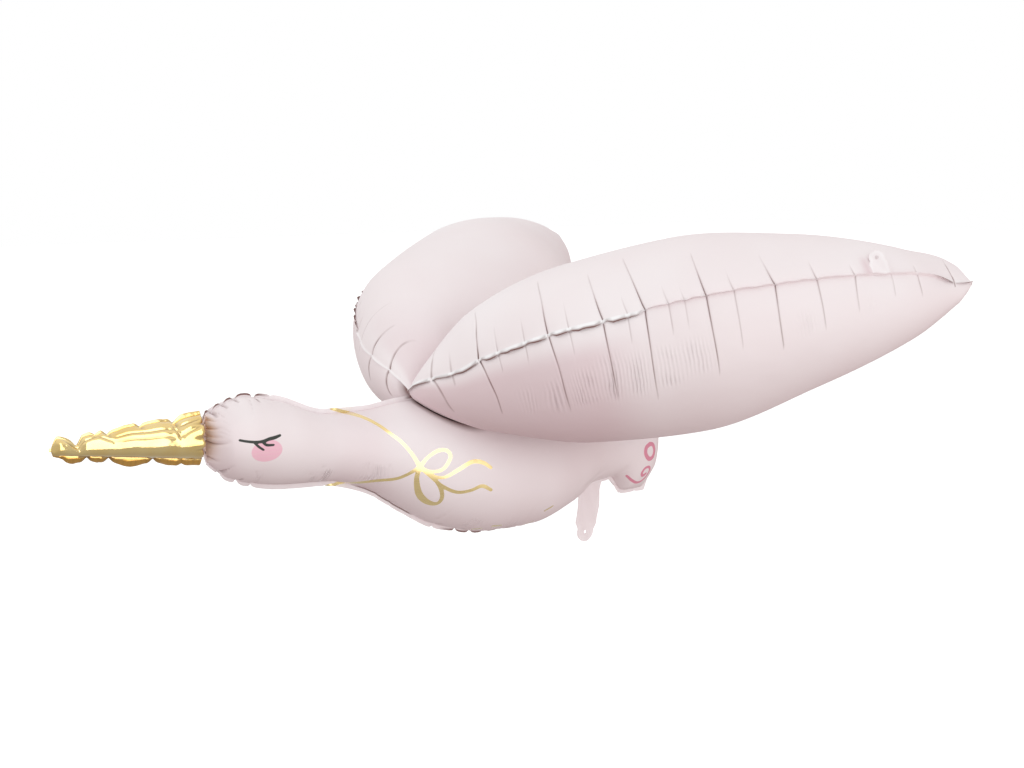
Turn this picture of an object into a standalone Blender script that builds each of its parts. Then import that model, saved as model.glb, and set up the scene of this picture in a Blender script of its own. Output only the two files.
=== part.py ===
# A foil balloon in the shape of a flying stork, sealed and full of gas. The stork faces -X, its left wing
# points to -Y, and the origin is the middle of the tether hole in the valve tab under its tail.

import math

import bmesh
import bpy
from mathutils import Matrix, Vector
from mathutils.bvhtree import BVHTree

# Foil: every envelope is two sheets joined by a flat weld that stands out round its edge
WELD_WIDTH = 0.008
WELD_THICKNESS = 0.0016
END_WELD_WIDTH = 0.003
GLUE_GAP = 0.0003
CONTACT_GAP = 0.002

# Creases run from the weld over the sheets and fade out at this angle round the section
CREASE_DEPTH = 0.007
CREASE_HALF_WIDTH = 0.009
CREASE_REACH = math.radians(62)

# Body: head, neck, trunk and tail in one envelope
BODY_LENGTH = 0.730
BODY_HEIGHT = 0.222
BODY_WIDTH = 0.192
HEAD_ROUNDING = 0.026
TAIL_ROUNDING = 0.036

# Share of the length from the beak's seat, shares of the height at the lower and the upper weld, and the
# share of the width
BODY_PROFILE = (
    (0.000, 0.650, 0.915, 0.42),
    (0.033, 0.548, 0.975, 0.48),
    (0.066, 0.505, 1.000, 0.51),
    (0.136, 0.468, 0.955, 0.51),
    (0.229, 0.450, 0.852, 0.45),
    (0.304, 0.383, 0.847, 0.52),
    (0.381, 0.232, 0.874, 0.73),
    (0.459, 0.092, 0.883, 0.90),
    (0.570, 0.010, 0.850, 1.00),
    (0.655, 0.012, 0.800, 0.97),
    (0.744, 0.095, 0.735, 0.82),
    (0.816, 0.212, 0.665, 0.61),
    (0.889, 0.232, 0.610, 0.47),
    (0.937, 0.137, 0.668, 0.46),
    (0.981, 0.140, 0.685, 0.42),
    (1.000, 0.207, 0.626, 0.38),
)

# Creases as shares of the length, with their strength, along the body's upper and lower weld
CROWN_CREASES = ((0.014, 1.0), (0.034, 1.0), (0.058, 0.8), (0.086, 0.7), (0.900, 0.7), (0.965, 0.6))
BELLY_CREASES = ((0.014, 1.0), (0.042, 0.9), (0.075, 0.6), (0.225, 0.5), (0.520, 0.4), (0.575, 0.5),
                 (0.625, 0.4), (0.885, 0.8), (0.950, 0.6))

# Beak: a narrow gold envelope on the front of the head
BEAK_LENGTH = 0.2015
BEAK_ROOT_HEIGHT = 0.052
BEAK_ROOT_WIDTH = 0.051
BEAK_UPPER_WELD_WIDTH = 0.007
BEAK_LOWER_WELD_WIDTH = 0.010
BEAK_LIFT = 0.0045
BEAK_TIP_RISE = 0.0045
BEAK_ROOT_ROUNDING = 0.014
BEAK_TIP_ROUNDING = 0.010

# Share of the beak's length from its tip, share of its height and width, and share of the weld's width
BEAK_PROFILE = (
    (0.00, 0.12, 0.10),
    (0.06, 0.26, 0.55),
    (0.14, 0.38, 1.00),
    (1.00, 1.00, 1.00),
)
BEAK_CREASE_DEPTH = 0.0035
BEAK_TOP_CREASES = ((0.17, 0.8), (0.29, 0.8), (0.37, 0.7), (0.58, 1.0), (0.81, 1.0))
BEAK_LOWER_CREASES = ((0.28, 1.0), (0.44, 1.0), (0.68, 0.9), (0.88, 0.6))

# Wings: one envelope, bent into a V at its narrow neck on the stork's back
WING_LENGTH = 0.750
WING_CHORD = 0.297
WING_THICKNESS = 0.256
WING_NECK_THICKNESS = 0.016
WING_SWEEP = math.radians(51.8)
WING_DIHEDRAL = math.radians(11.5)
WING_ROLL = math.radians(18.1)
WING_TWIST = math.radians(12.3)
WING_STATION = 0.4247
WING_TIP_ROUNDING = 0.022
WING_TIP_WELD_WIDTH = 0.003
NECK_BLEND = 0.11

# Share of the wing's length from the neck, shares of the chord before and behind the wing's line, and the
# share of the thickness
WING_PROFILE = (
    (0.00, 0.032, 0.118, 0.086),
    (0.12, 0.386, 0.100, 0.609),
    (0.30, 0.563, 0.369, 0.916),
    (0.50, 0.543, 0.437, 1.000),
    (0.70, 0.430, 0.297, 0.797),
    (0.88, 0.240, 0.178, 0.483),
    (1.00, 0.012, 0.012, 0.100),
)
LEADING_CREASES = ((0.044, 0.7), (0.135, 1.0), (0.261, 1.0), (0.355, 1.0), (0.426, 0.9), (0.531, 0.9),
                   (0.648, 0.9), (0.721, 0.5), (0.785, 0.5), (0.900, 0.6), (0.965, 0.4))
TRAILING_CREASES = ((0.135, 0.8), (0.261, 1.0), (0.355, 0.8), (0.426, 1.0), (0.531, 0.9), (0.648, 1.0),
                    (0.785, 0.8), (0.900, 0.6))

# Valve tabs: flat tongues of foil welded into the flange, each with a hole for a ribbon
TAB_THICKNESS = 0.0012
TAB_SHOULDER_SHARE = 0.9
TAB_WAIST_ANGLE = math.radians(14.5)
TETHER_HOLE_DIAMETER = 0.005
BODY_TAB_STATION = 0.840
BODY_TAB_LEAN = 0.010
BODY_TAB_LENGTH = 0.0753
BODY_TAB_WIDTH = 0.039
BODY_TAB_END_RADIUS = 0.0145
BODY_TAB_FLARE = 0.006
WING_TAB_STATION = 0.832
WING_TAB_LENGTH = 0.024
WING_TAB_WIDTH = 0.024
WING_TAB_END_RADIUS = 0.010
WING_TAB_FLARE = 0.001

# Angles round one sheet, from the lower or trailing weld to the upper or leading weld
SHEET_ANGLES = [math.radians(angle) for angle in (-90, -80, -65, -45, -22, 0, 22, 45, 65, 80, 90)]
BEAK_ANGLES = [math.radians(angle) for angle in (-90, -72, -38, 0, 38, 72, 90)]
ARC_STEPS = 10
HOLE_STEPS = 16

# Sections along an envelope: shares of a rounded end where they stand close, the least space between two
# and the widest space on each envelope
END_STEPS = (0.02, 0.12, 0.35, 0.70)
CLOSEST_SECTIONS = 0.0022
BODY_SECTIONS = 0.022
BEAK_SECTIONS = 0.020
WING_SECTIONS = 0.045

PINK_FOIL = ((0.80, 0.69, 0.69, 1.0), 0.35, 0.35)
GOLD_FOIL = ((0.83, 0.62, 0.26, 1.0), 0.12, 1.0)


def clear_scene():
    for item in list(bpy.data.objects):
        bpy.data.objects.remove(item)


def smooth_curve(points):
    # A smooth curve through (place, value) points that never swings past them
    steps = [after[0] - before[0] for before, after in zip(points, points[1:])]
    rises = [(after[1] - before[1]) / step for before, after, step in zip(points, points[1:], steps)]
    slopes = [rises[0]]
    for before, after in zip(rises, rises[1:]):
        slopes.append(2 * before * after / (before + after) if before * after > 0 else 0.0)
    slopes.append(rises[-1])

    def value(place):
        index = 0
        while index < len(steps) - 1 and place > points[index + 1][0]:
            index += 1
        step = steps[index]
        part = min(max((place - points[index][0]) / step, 0.0), 1.0)
        start, end = points[index][1], points[index + 1][1]
        swing = part * (1 - part) ** 2 * slopes[index] - part ** 2 * (1 - part) * slopes[index + 1]
        return start + (end - start) * part ** 2 * (3 - 2 * part) + swing * step

    return value


def profile_curves(rows):
    return [smooth_curve([(row[0], row[column]) for row in rows]) for column in range(1, len(rows[0]))]


def end_rounding(distance, rounding):
    # 0 at the weld that closes an envelope's end, 1 from one rounding away from it
    part = min(max(distance / rounding, 0.0), 1.0)
    return math.sqrt(1 - (1 - part) ** 2)


def crease_depths(low_creases, high_creases, share, length, depth=CREASE_DEPTH):
    # How deep the low and the high edge are drawn in at one share of an envelope's length
    return [
        depth * max(
            strength * max(0.0, 1 - abs(share - place) * length / CREASE_HALF_WIDTH)
            for place, strength in creases
        )
        for creases in (low_creases, high_creases)
    ]


def station_shares(length, creases, first_rounding, last_rounding, spacing):
    # Shares along an envelope: its ends, close steps where they round off, both sides and the floor of
    # each crease, and even steps between
    shares = {0.0, 1.0}
    for step in END_STEPS:
        if first_rounding:
            shares.add(step * first_rounding / length)
        if last_rounding:
            shares.add(1 - step * last_rounding / length)
    for place, _ in creases:
        for side in (-1, 0, 1):
            shares.add(min(max(place + side * CREASE_HALF_WIDTH / length, 0.0), 1.0))
    ordered = []
    floors = {place for place, _ in creases} | {0.0, 1.0}
    for share in sorted(shares):
        if ordered and (share - ordered[-1]) * length < CLOSEST_SECTIONS:
            if ordered[-1] in floors:
                continue
            ordered.pop()
        ordered.append(share)
    filled = ordered[:1]
    for share in ordered[1:]:
        count = math.ceil((share - filled[-1]) * length / spacing)
        start = filled[-1]
        filled += [start + (share - start) * (index + 1) / count for index in range(count)]
    return filled


def sheet_section(low, high, side, depth, welds, creases, angles=SHEET_ANGLES):
    # The points of both sheets in one section, each from the outer edge of one weld to that of the other.
    # The widths of the welds and the depths of the creases are pairs, for the low and the high edge.
    middle = (low + high) / 2
    half = (high - low) / 2
    along = half.normalized()
    sheets = []
    for facing in (side, -side):
        sheet = []
        for angle in angles:
            out = half * math.sin(angle) + facing * (depth * math.cos(angle))
            high_fade = max(0.0, 1 - (math.pi / 2 - angle) / CREASE_REACH)
            low_fade = max(0.0, 1 - (math.pi / 2 + angle) / CREASE_REACH)
            out -= out.normalized() * (creases[0] * low_fade + creases[1] * high_fade)
            sheet.append(middle + out + facing * (WELD_THICKNESS / 2))
        sheet.insert(0, sheet[0] - along * welds[0])
        sheet.append(sheet[-1] + along * welds[1])
        sheets.append(sheet)
    return sheets


def envelope_mesh(name, sections):
    # One closed solid through the sections: two sheets, the welds' edges and a strip over each end
    shape = bmesh.new()
    rings = [[[shape.verts.new(point) for point in sheet] for sheet in section] for section in sections]
    for before, after in zip(rings, rings[1:]):
        loops = [before[0] + before[1][::-1], after[0] + after[1][::-1]]
        count = len(loops[0])
        for index in range(count):
            following = (index + 1) % count
            shape.faces.new((loops[0][index], loops[0][following], loops[1][following], loops[1][index]))
    for near, far in (rings[0], rings[-1]):
        for index in range(len(near) - 1):
            shape.faces.new((near[index], near[index + 1], far[index + 1], far[index]))
    bmesh.ops.recalc_face_normals(shape, faces=shape.faces)
    mesh = bpy.data.meshes.new(name)
    shape.to_mesh(mesh)
    shape.free()
    mesh.shade_smooth()
    return mesh


def material(name, finish):
    colour, roughness, metallic = finish
    made = bpy.data.materials.new(name)
    made.use_nodes = True
    shader = made.node_tree.nodes["Principled BSDF"]
    shader.inputs["Base Color"].default_value = colour
    shader.inputs["Roughness"].default_value = roughness
    shader.inputs["Metallic"].default_value = metallic
    return made


def place(name, mesh, location, parent, finish):
    made = bpy.data.objects.new(name, mesh)
    bpy.context.collection.objects.link(made)
    made.data.materials.append(material(name + "Foil", finish))
    made.location = location
    made.parent = parent
    return made


def tab_plate(name, width, length, end_radius, flare):
    # A flat tongue in the XZ plane: its hole is at the origin, its root at +Z, where it flares out
    flat = bpy.data.curves.new(name, "CURVE")
    flat.dimensions = "2D"
    flat.fill_mode = "BOTH"
    flat.extrude = TAB_THICKNESS / 2
    shoulder = end_radius * TAB_SHOULDER_SHARE
    edge = []
    for step in range(ARC_STEPS + 1):
        angle = TAB_WAIST_ANGLE - (math.pi + 2 * TAB_WAIST_ANGLE) * step / ARC_STEPS
        edge.append((end_radius * math.cos(angle), end_radius * math.sin(angle)))
    for side in (-1, 1):
        flank = [(side * width / 2, shoulder), (side * width / 2, length - 3 * flare)]
        flank += [(side * (width / 2 + flare / 3), length - 2 * flare), (side * (width / 2 + flare), length)]
        edge += flank[::-side]
    hole = []
    for step in range(HOLE_STEPS):
        angle = 2 * math.pi * step / HOLE_STEPS
        hole.append((TETHER_HOLE_DIAMETER / 2 * math.cos(angle), TETHER_HOLE_DIAMETER / 2 * math.sin(angle)))
    for outline in (edge, hole):
        spline = flat.splines.new("POLY")
        spline.points.add(len(outline) - 1)
        for point, (across, up) in zip(spline.points, outline):
            point.co = (across, up, 0.0, 1.0)
        spline.use_cyclic_u = True
    guide = bpy.data.objects.new(name, flat)
    bpy.context.collection.objects.link(guide)
    mesh = bpy.data.meshes.new_from_object(guide.evaluated_get(bpy.context.evaluated_depsgraph_get()))
    bpy.data.objects.remove(guide)
    mesh.transform(Matrix.Rotation(math.pi / 2, 4, "X"))
    shape = bmesh.new()
    shape.from_mesh(mesh)
    bmesh.ops.remove_doubles(shape, verts=shape.verts, dist=0.00001)
    bmesh.ops.recalc_face_normals(shape, faces=shape.faces)
    shape.to_mesh(mesh)
    shape.free()
    tab = bpy.data.objects.new(name, mesh)
    bpy.context.collection.objects.link(tab)
    tab.hide_render = True
    tab.display_type = "WIRE"
    return tab


def weld_tab(envelope, tab):
    joint = envelope.modifiers.new("Tab", "BOOLEAN")
    joint.operation = "UNION"
    joint.solver = "MANIFOLD"
    joint.object = tab


def body_frame():
    # Where the beak's seat lies at zero height, so that the tether hole comes out at the origin
    bottom = profile_curves(BODY_PROFILE)[0](BODY_TAB_STATION) * BODY_HEIGHT
    return Vector((BODY_TAB_LEAN - BODY_TAB_STATION * BODY_LENGTH, 0.0, BODY_TAB_LENGTH - bottom))


def wing_axes(share):
    # The span, chord and upward directions of the wings at a share from -1, the left tip, to 1
    side = math.copysign(1.0, share)

    def wing_side(facing):
        span = Vector((
            math.sin(WING_SWEEP) * math.cos(WING_DIHEDRAL),
            facing * math.cos(WING_SWEEP) * math.cos(WING_DIHEDRAL),
            math.sin(WING_DIHEDRAL),
        ))
        level = (facing * Vector((0.0, 0.0, 1.0)).cross(span)).normalized()
        upright = (facing * span.cross(level)).normalized()
        roll = WING_ROLL + WING_TWIST * abs(share)
        chord = level * math.cos(roll) + upright * math.sin(roll)
        up = upright * math.cos(roll) - level * math.sin(roll)
        return span, chord, up

    own, other = wing_side(side), wing_side(-side)
    part = min(abs(share) / NECK_BLEND, 1.0)
    lean = 0.5 - 0.5 * part ** 2 * (3 - 2 * part)
    chord = own[1].lerp(other[1], lean).normalized()
    up = own[2].lerp(other[2], lean)
    up = (up - chord * up.dot(chord)).normalized()
    return own[0], chord, up


def wing_section(share, closing=0.0):
    leading, trailing, thickness = profile_curves(WING_PROFILE)
    span, chord, up = wing_axes(share)
    place = abs(share)
    line = span * (place * WING_LENGTH + closing)
    fullness = thickness(place) * WING_THICKNESS / 2
    neck = max(0.0, 1 - place / NECK_BLEND)
    fullness += neck * (WING_NECK_THICKNESS / 2 - thickness(0.0) * WING_THICKNESS / 2)
    tip = end_rounding((1 - place) * WING_LENGTH, WING_TIP_ROUNDING)
    weld = WING_TIP_WELD_WIDTH + (WELD_WIDTH - WING_TIP_WELD_WIDTH) * tip
    return sheet_section(
        line - chord * (trailing(place) * WING_CHORD),
        line + chord * (leading(place) * WING_CHORD),
        up,
        0.0 if closing else fullness * tip,
        (weld, weld),
        crease_depths(TRAILING_CREASES, LEADING_CREASES, place, WING_LENGTH),
    )


def wings_mesh():
    one_side = station_shares(
        WING_LENGTH, LEADING_CREASES + TRAILING_CREASES, 0.0, WING_TIP_ROUNDING, WING_SECTIONS)
    shares = [-share for share in reversed(one_side[1:])] + one_side
    sections = [wing_section(share) for share in shares]
    sections.insert(0, wing_section(-1.0, WING_TIP_WELD_WIDTH))
    sections.append(wing_section(1.0, WING_TIP_WELD_WIDTH))
    return envelope_mesh("wings", sections)


def body_section(share, closing=0.0):
    bottom, top, width = profile_curves(BODY_PROFILE)
    along = END_WELD_WIDTH + share * (BODY_LENGTH - END_WELD_WIDTH) + closing
    rounding = end_rounding(share * BODY_LENGTH, HEAD_ROUNDING)
    rounding *= end_rounding((1 - share) * BODY_LENGTH, TAIL_ROUNDING)
    return sheet_section(
        Vector((along, 0.0, bottom(share) * BODY_HEIGHT)),
        Vector((along, 0.0, top(share) * BODY_HEIGHT)),
        Vector((0.0, -1.0, 0.0)),
        0.0 if closing else width(share) * BODY_WIDTH / 2 * rounding,
        (WELD_WIDTH, WELD_WIDTH),
        crease_depths(BELLY_CREASES, CROWN_CREASES, share, BODY_LENGTH),
    )


def press_under(sections, offset, roof):
    # Lowers every point of the sections that the roof, a tree of faces, would otherwise touch
    below = Vector((0.0, 0.0, -1.0))
    for section in sections:
        for sheet in section:
            last = len(sheet) - 1
            for index, point in enumerate(sheet):
                start = point + offset + below
                hit = roof.ray_cast(start, Vector((0.0, 0.0, 1.0)))[0]
                if hit is None:
                    continue
                spare = CONTACT_GAP if index == last else CONTACT_GAP + WELD_THICKNESS
                point.z = min(point.z, hit.z - offset.z - spare)


def body_mesh(offset, roof):
    shares = station_shares(
        BODY_LENGTH, CROWN_CREASES + BELLY_CREASES, HEAD_ROUNDING, TAIL_ROUNDING, BODY_SECTIONS)
    sections = [body_section(share) for share in shares]
    sections.insert(0, body_section(0.0, -END_WELD_WIDTH))
    sections.append(body_section(1.0, WELD_WIDTH))
    press_under(sections, offset, roof)
    return envelope_mesh("body", sections)


def beak_section(share, closing=0.0):
    # Shares run from the tip to the root
    long_part = BEAK_LENGTH - 2 * END_WELD_WIDTH
    along = share * long_part + END_WELD_WIDTH - BEAK_LENGTH + closing
    size, weld = [curve(share) for curve in profile_curves(BEAK_PROFILE)]
    centre = Vector((along, 0.0, BEAK_TIP_RISE * (1 - share)))
    half = Vector((0.0, 0.0, BEAK_ROOT_HEIGHT / 2 * size))
    rounding = end_rounding((1 - share) * BEAK_LENGTH, BEAK_ROOT_ROUNDING)
    rounding *= end_rounding(share * BEAK_LENGTH, BEAK_TIP_ROUNDING)
    return sheet_section(
        centre - half,
        centre + half,
        Vector((0.0, -1.0, 0.0)),
        0.0 if closing else BEAK_ROOT_WIDTH / 2 * size * rounding,
        (weld * BEAK_LOWER_WELD_WIDTH, weld * BEAK_UPPER_WELD_WIDTH),
        crease_depths(BEAK_LOWER_CREASES, BEAK_TOP_CREASES, share, BEAK_LENGTH, BEAK_CREASE_DEPTH),
        BEAK_ANGLES,
    )


def beak_mesh():
    shares = station_shares(
        BEAK_LENGTH,
        BEAK_TOP_CREASES + BEAK_LOWER_CREASES,
        BEAK_TIP_ROUNDING,
        BEAK_ROOT_ROUNDING,
        BEAK_SECTIONS,
    )
    sections = [beak_section(share) for share in shares]
    sections.insert(0, beak_section(0.0, -END_WELD_WIDTH))
    sections.append(beak_section(1.0, END_WELD_WIDTH))
    return envelope_mesh("beak", sections)


def build():
    clear_scene()
    stork = bpy.data.objects.new("stork", None)
    bpy.context.collection.objects.link(stork)

    seat = body_frame()
    bottom, top, _ = profile_curves(BODY_PROFILE)
    back = top(WING_STATION) * BODY_HEIGHT
    neck = seat + Vector((WING_STATION * BODY_LENGTH, 0.0, back + WING_NECK_THICKNESS / 2 + CONTACT_GAP))
    wings = place("wings", wings_mesh(), neck, stork, PINK_FOIL)

    shape = bmesh.new()
    shape.from_mesh(wings.data)
    bmesh.ops.translate(shape, verts=shape.verts, vec=neck)
    roof = BVHTree.FromBMesh(shape)
    shape.free()
    body = place("body", body_mesh(seat, roof), seat, stork, PINK_FOIL)

    face = (bottom(0.0) + top(0.0)) / 2 * BODY_HEIGHT
    beak_root = seat + Vector((-GLUE_GAP, 0.0, face + BEAK_LIFT))
    place("beak", beak_mesh(), beak_root, stork, GOLD_FOIL)

    tether_tab = tab_plate(
        "tetherTab", BODY_TAB_WIDTH, BODY_TAB_LENGTH, BODY_TAB_END_RADIUS, BODY_TAB_FLARE)
    tether_tab.rotation_euler.y = math.atan2(BODY_TAB_LEAN, BODY_TAB_LENGTH)
    weld_tab(body, tether_tab)

    wing_tab = tab_plate(
        "wingTab", WING_TAB_WIDTH, WING_TAB_LENGTH, WING_TAB_END_RADIUS, WING_TAB_FLARE)
    span, chord, up = wing_axes(-WING_TAB_STATION)
    lead = profile_curves(WING_PROFILE)[0](WING_TAB_STATION) * WING_CHORD
    hole = neck + span * (WING_TAB_STATION * WING_LENGTH)
    hole += chord * (lead + WELD_WIDTH / 2) + up * (WING_TAB_LENGTH - WELD_THICKNESS)
    axes = Matrix((-span, -chord, -up)).transposed()
    wing_tab.matrix_world = Matrix.Translation(hole) @ axes.to_4x4()
    weld_tab(wings, wing_tab)


build()
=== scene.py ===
import math

import bmesh
import bpy
import numpy as np
from mathutils import Matrix, Vector
from mathutils.bvhtree import BVHTree


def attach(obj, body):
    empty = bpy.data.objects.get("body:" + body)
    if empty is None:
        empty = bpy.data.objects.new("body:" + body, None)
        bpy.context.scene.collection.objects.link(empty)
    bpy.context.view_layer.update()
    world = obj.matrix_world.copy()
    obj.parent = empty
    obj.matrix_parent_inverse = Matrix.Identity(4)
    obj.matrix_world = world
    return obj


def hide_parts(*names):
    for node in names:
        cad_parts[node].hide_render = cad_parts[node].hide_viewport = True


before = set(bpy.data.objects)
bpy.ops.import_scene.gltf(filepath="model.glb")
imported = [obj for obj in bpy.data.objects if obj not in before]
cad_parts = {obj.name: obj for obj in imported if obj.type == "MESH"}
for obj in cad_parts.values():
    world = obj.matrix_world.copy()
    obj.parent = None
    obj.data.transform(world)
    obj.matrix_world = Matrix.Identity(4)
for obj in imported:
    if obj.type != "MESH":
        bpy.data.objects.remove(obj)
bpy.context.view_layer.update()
print("frame loaded:", sorted(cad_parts))


# curves and fields


def smoothCurve(points):
    # a curve through every (place, value) that never swings past one
    place, value = np.array(points, float).T
    step = np.diff(place)
    rise = np.diff(value) / step
    slope = np.zeros(len(place))
    slope[0], slope[-1] = rise[0], rise[-1]
    for index in range(1, len(place) - 1):
        before, after = rise[index - 1], rise[index]
        if before * after > 0:
            slope[index] = 2 * before * after / (before + after)

    def at(where):
        index = np.clip(np.searchsorted(place, where, side="right") - 1, 0, len(step) - 1)
        part = np.clip((where - place[index]) / step[index], 0, 1)
        swing = part * (1 - part) ** 2 * slope[index] - part ** 2 * (1 - part) * slope[index + 1]
        eased = part ** 2 * (3 - 2 * part)
        return value[index] + (value[index + 1] - value[index]) * eased + swing * step[index]

    return at


def profileCurves(rows):
    return [smoothCurve([(row[0], row[column]) for row in rows]) for column in range(1, len(rows[0]))]


def endRounding(distance, rounding):
    part = np.clip(distance / rounding, 0, 1)
    return np.sqrt(1 - (1 - part) ** 2)


def unit(vectors):
    return vectors / np.maximum(np.linalg.norm(vectors, axis=-1, keepdims=True), 1e-12)


def smoothStep(value):
    part = np.clip(value, 0, 1)
    return part ** 2 * (3 - 2 * part)


def ringRows(count, crowding, weldSteps):
    # one way round a section: the low weld's edge, sheet 1, the high weld's edge and sheet -1 back again
    part = np.linspace(-1, 1, count)
    angles = 90 * ((1 - crowding) * part + crowding * np.sin(part * math.pi / 2))
    rise = [(-90.0, share, 1.0) for share in weldSteps]
    rise += [(angle, 0.0, 1.0) for angle in angles]
    rise += [(90.0, share, 1.0) for share in reversed(weldSteps)]
    rows = [(-90.0, 1.0, 0.0)] + rise + [(90.0, 1.0, 0.0)]
    rows += [(angle, weld, -sheet) for angle, weld, sheet in reversed(rise)] + [(-90.0, 1.0, 0.0)]
    angle, weldRow, sheet = np.array(rows).T[:, None, :]
    return np.radians(angle), weldRow, sheet


def columnPlaces(facts, end, creases, ends):
    # places along an envelope in metres: close at each crease and rounded end, and evenly spaced between
    marks = [(0.0, 2), (end, 2)]
    for place in creases + ends[::6]:
        for side in (-1, 1):
            marks += [(place + side * offset, 2 if offset == 0 else 1) for offset in facts["creaseColumns"]]
    marks = sorted((place, rank) for place, rank in set(marks) if 0 <= place <= end)
    kept = []
    for place, rank in marks:
        if kept and place - kept[-1][0] < facts["closest"]:
            if kept[-1][1] >= rank:
                continue
            kept.pop()
        kept.append((place, rank))
    places = [kept[0][0]]
    for place, _ in kept[1:]:
        first = places[-1]
        gap, middle = place - first, (place + first) / 2
        step = min((fine for low, high, fine in facts["fineColumns"] if low < middle < high),
                   default=facts["spacing"])
        count = max(1, math.ceil(gap / step - 0.2))
        places += [first + gap * (index + 1) / count for index in range(count)]
    return np.unique(places + [place for index, place in enumerate(ends) if index % 6])


def grooves(along, creases, depth, halfWidth, fromWeld, tones=(0.8, 0.6)):
    # creases square to a weld: (place, reach in degrees, strength); painted crease shade near the weld and
    # far from it
    total = np.zeros(np.broadcast(along, fromWeld).shape)
    tone = np.zeros_like(total)
    for place, reach, strength in creases:
        distance = (along - place) / halfWidth
        fade = np.clip(1 - fromWeld / math.radians(reach), 0, 1)
        floor = np.clip(1 - np.abs(distance), 0, 1)
        lip = 0.42 * np.exp(-((distance + 1.6) / 0.6) ** 2) + 0.16 * np.exp(-((distance - 1.8) / 0.8) ** 2)
        total += strength * depth * fade ** 0.6 * (floor - lip)
        depths = tones[1] + (tones[0] - tones[1]) * fade + 0.2 * unevenWave(fromWeld + 40 * place, 0.55)
        narrow = np.clip(1.25 - np.abs(distance) / 0.75, 0, 1)
        # painted shade along the crease's floor
        tone = np.maximum(tone, strength * depths * fade ** 0.3 * narrow)
    return total, tone


def inMetres(rows, length):
    return [(row[0] * length, *row[1:]) for row in rows]


def roundedPlaces(end, rounding):
    # columns that follow a rounded end, from the end itself on; a rounding below 0 goes back from it
    return [end + rounding * step for step in (0.0, 0.02, 0.08, 0.2, 0.4, 0.7)]


def creasedWelds(facts, keys, length, metres, angle):
    # what the creases of the upper and the lower weld do: dents, their painted shade, and how each weld is
    # drawn in
    dent, tone, drawn = 0, 0, []
    for key, fromWeld in zip(keys, (math.pi / 2 - angle, math.pi / 2 + angle)):
        rows = inMetres(facts[key], length)
        deep, dark = grooves(metres, rows, facts["creaseDepth"], facts["creaseHalfWidth"], fromWeld)
        dent, tone = dent + deep, np.maximum(tone, dark)
        drawn.append(pinches(metres, rows, facts["pinchReach"]))
    return dent, tone, drawn


def besideLine(x, z, startX, startZ, endX, endZ):
    # how far along a line each point lies, as a share, and how far away from it
    dx, dz = endX - startX, endZ - startZ
    part = np.clip(((x - startX) * dx + (z - startZ) * dz) / (dx * dx + dz * dz), 0, 1)
    return part, np.hypot(x - startX - part * dx, z - startZ - part * dz)


def readTable(table, where):
    return np.interp(where, *zip(*table))


def rippleMarks(share, fromWeld, rows):
    # rows: share, reach in share, from and to in degrees from the weld, strength
    marks = np.zeros_like(share * fromWeld)
    for middle, reach, near, far, strength in rows:
        there = np.exp(-((share - middle) / reach) ** 2)
        there = there * smoothStep((fromWeld - math.radians(near)) / 0.2)
        there = there * smoothStep((math.radians(far) - fromWeld) / 0.1)
        marks = np.maximum(marks, strength * there)
    return marks


def pinches(along, creases, reach):
    # how much each place of a weld is drawn in, 1 at a full pinch, with round arches between pinches
    total = np.zeros(np.shape(along))
    for place, _, strength in creases:
        total = np.maximum(total, strength * np.clip(1 - np.abs(along - place) / reach, 0, 1) ** 2)
    return total


def unevenWave(along, length):
    # a wave of uneven length and height, from -1 to 1
    turn = 2 * math.pi * along / length
    return np.sin(turn + 1.7 * np.sin(turn * 0.237 + 0.6)) * (0.7 + 0.3 * np.sin(turn * 0.391 + 2.1))


def weldOffset(width, share, lean):
    # how far out and how far to sheet 1 a weld's row lies when it curls by lean, in degrees, over its width
    curl = np.radians(lean) * share
    safe = np.where(np.abs(curl) < 1e-4, 1e-4, curl)
    return width * share * np.sin(safe) / safe, width * share * (1 - np.cos(safe)) / safe


def placeWeld(y, z, high, angle, weldRow, width, lean):
    # moves one weld's rows out over its width, and says which rows they are
    here = (weldRow > 0) & ((angle > 0) == high)
    out, bend = weldOffset(width, weldRow, lean)
    z += np.where(here, out if high else -out, 0)
    y -= np.where(here, bend, 0)
    return here


def tuck(distance, drawn, reach):
    # how much of its height an envelope keeps near an end, and all of it beyond reach
    return 1 - drawn * (1 - smoothStep(distance / reach))


def makePiece(shape, name):
    # an object at the origin from a finished bmesh
    mesh = bpy.data.meshes.new(name)
    shape.to_mesh(mesh)
    shape.free()
    mesh.polygons.foreach_set("use_smooth", [True] * len(mesh.polygons))
    piece = bpy.data.objects.new(name, mesh)
    bpy.context.scene.collection.objects.link(piece)
    return piece


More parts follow.
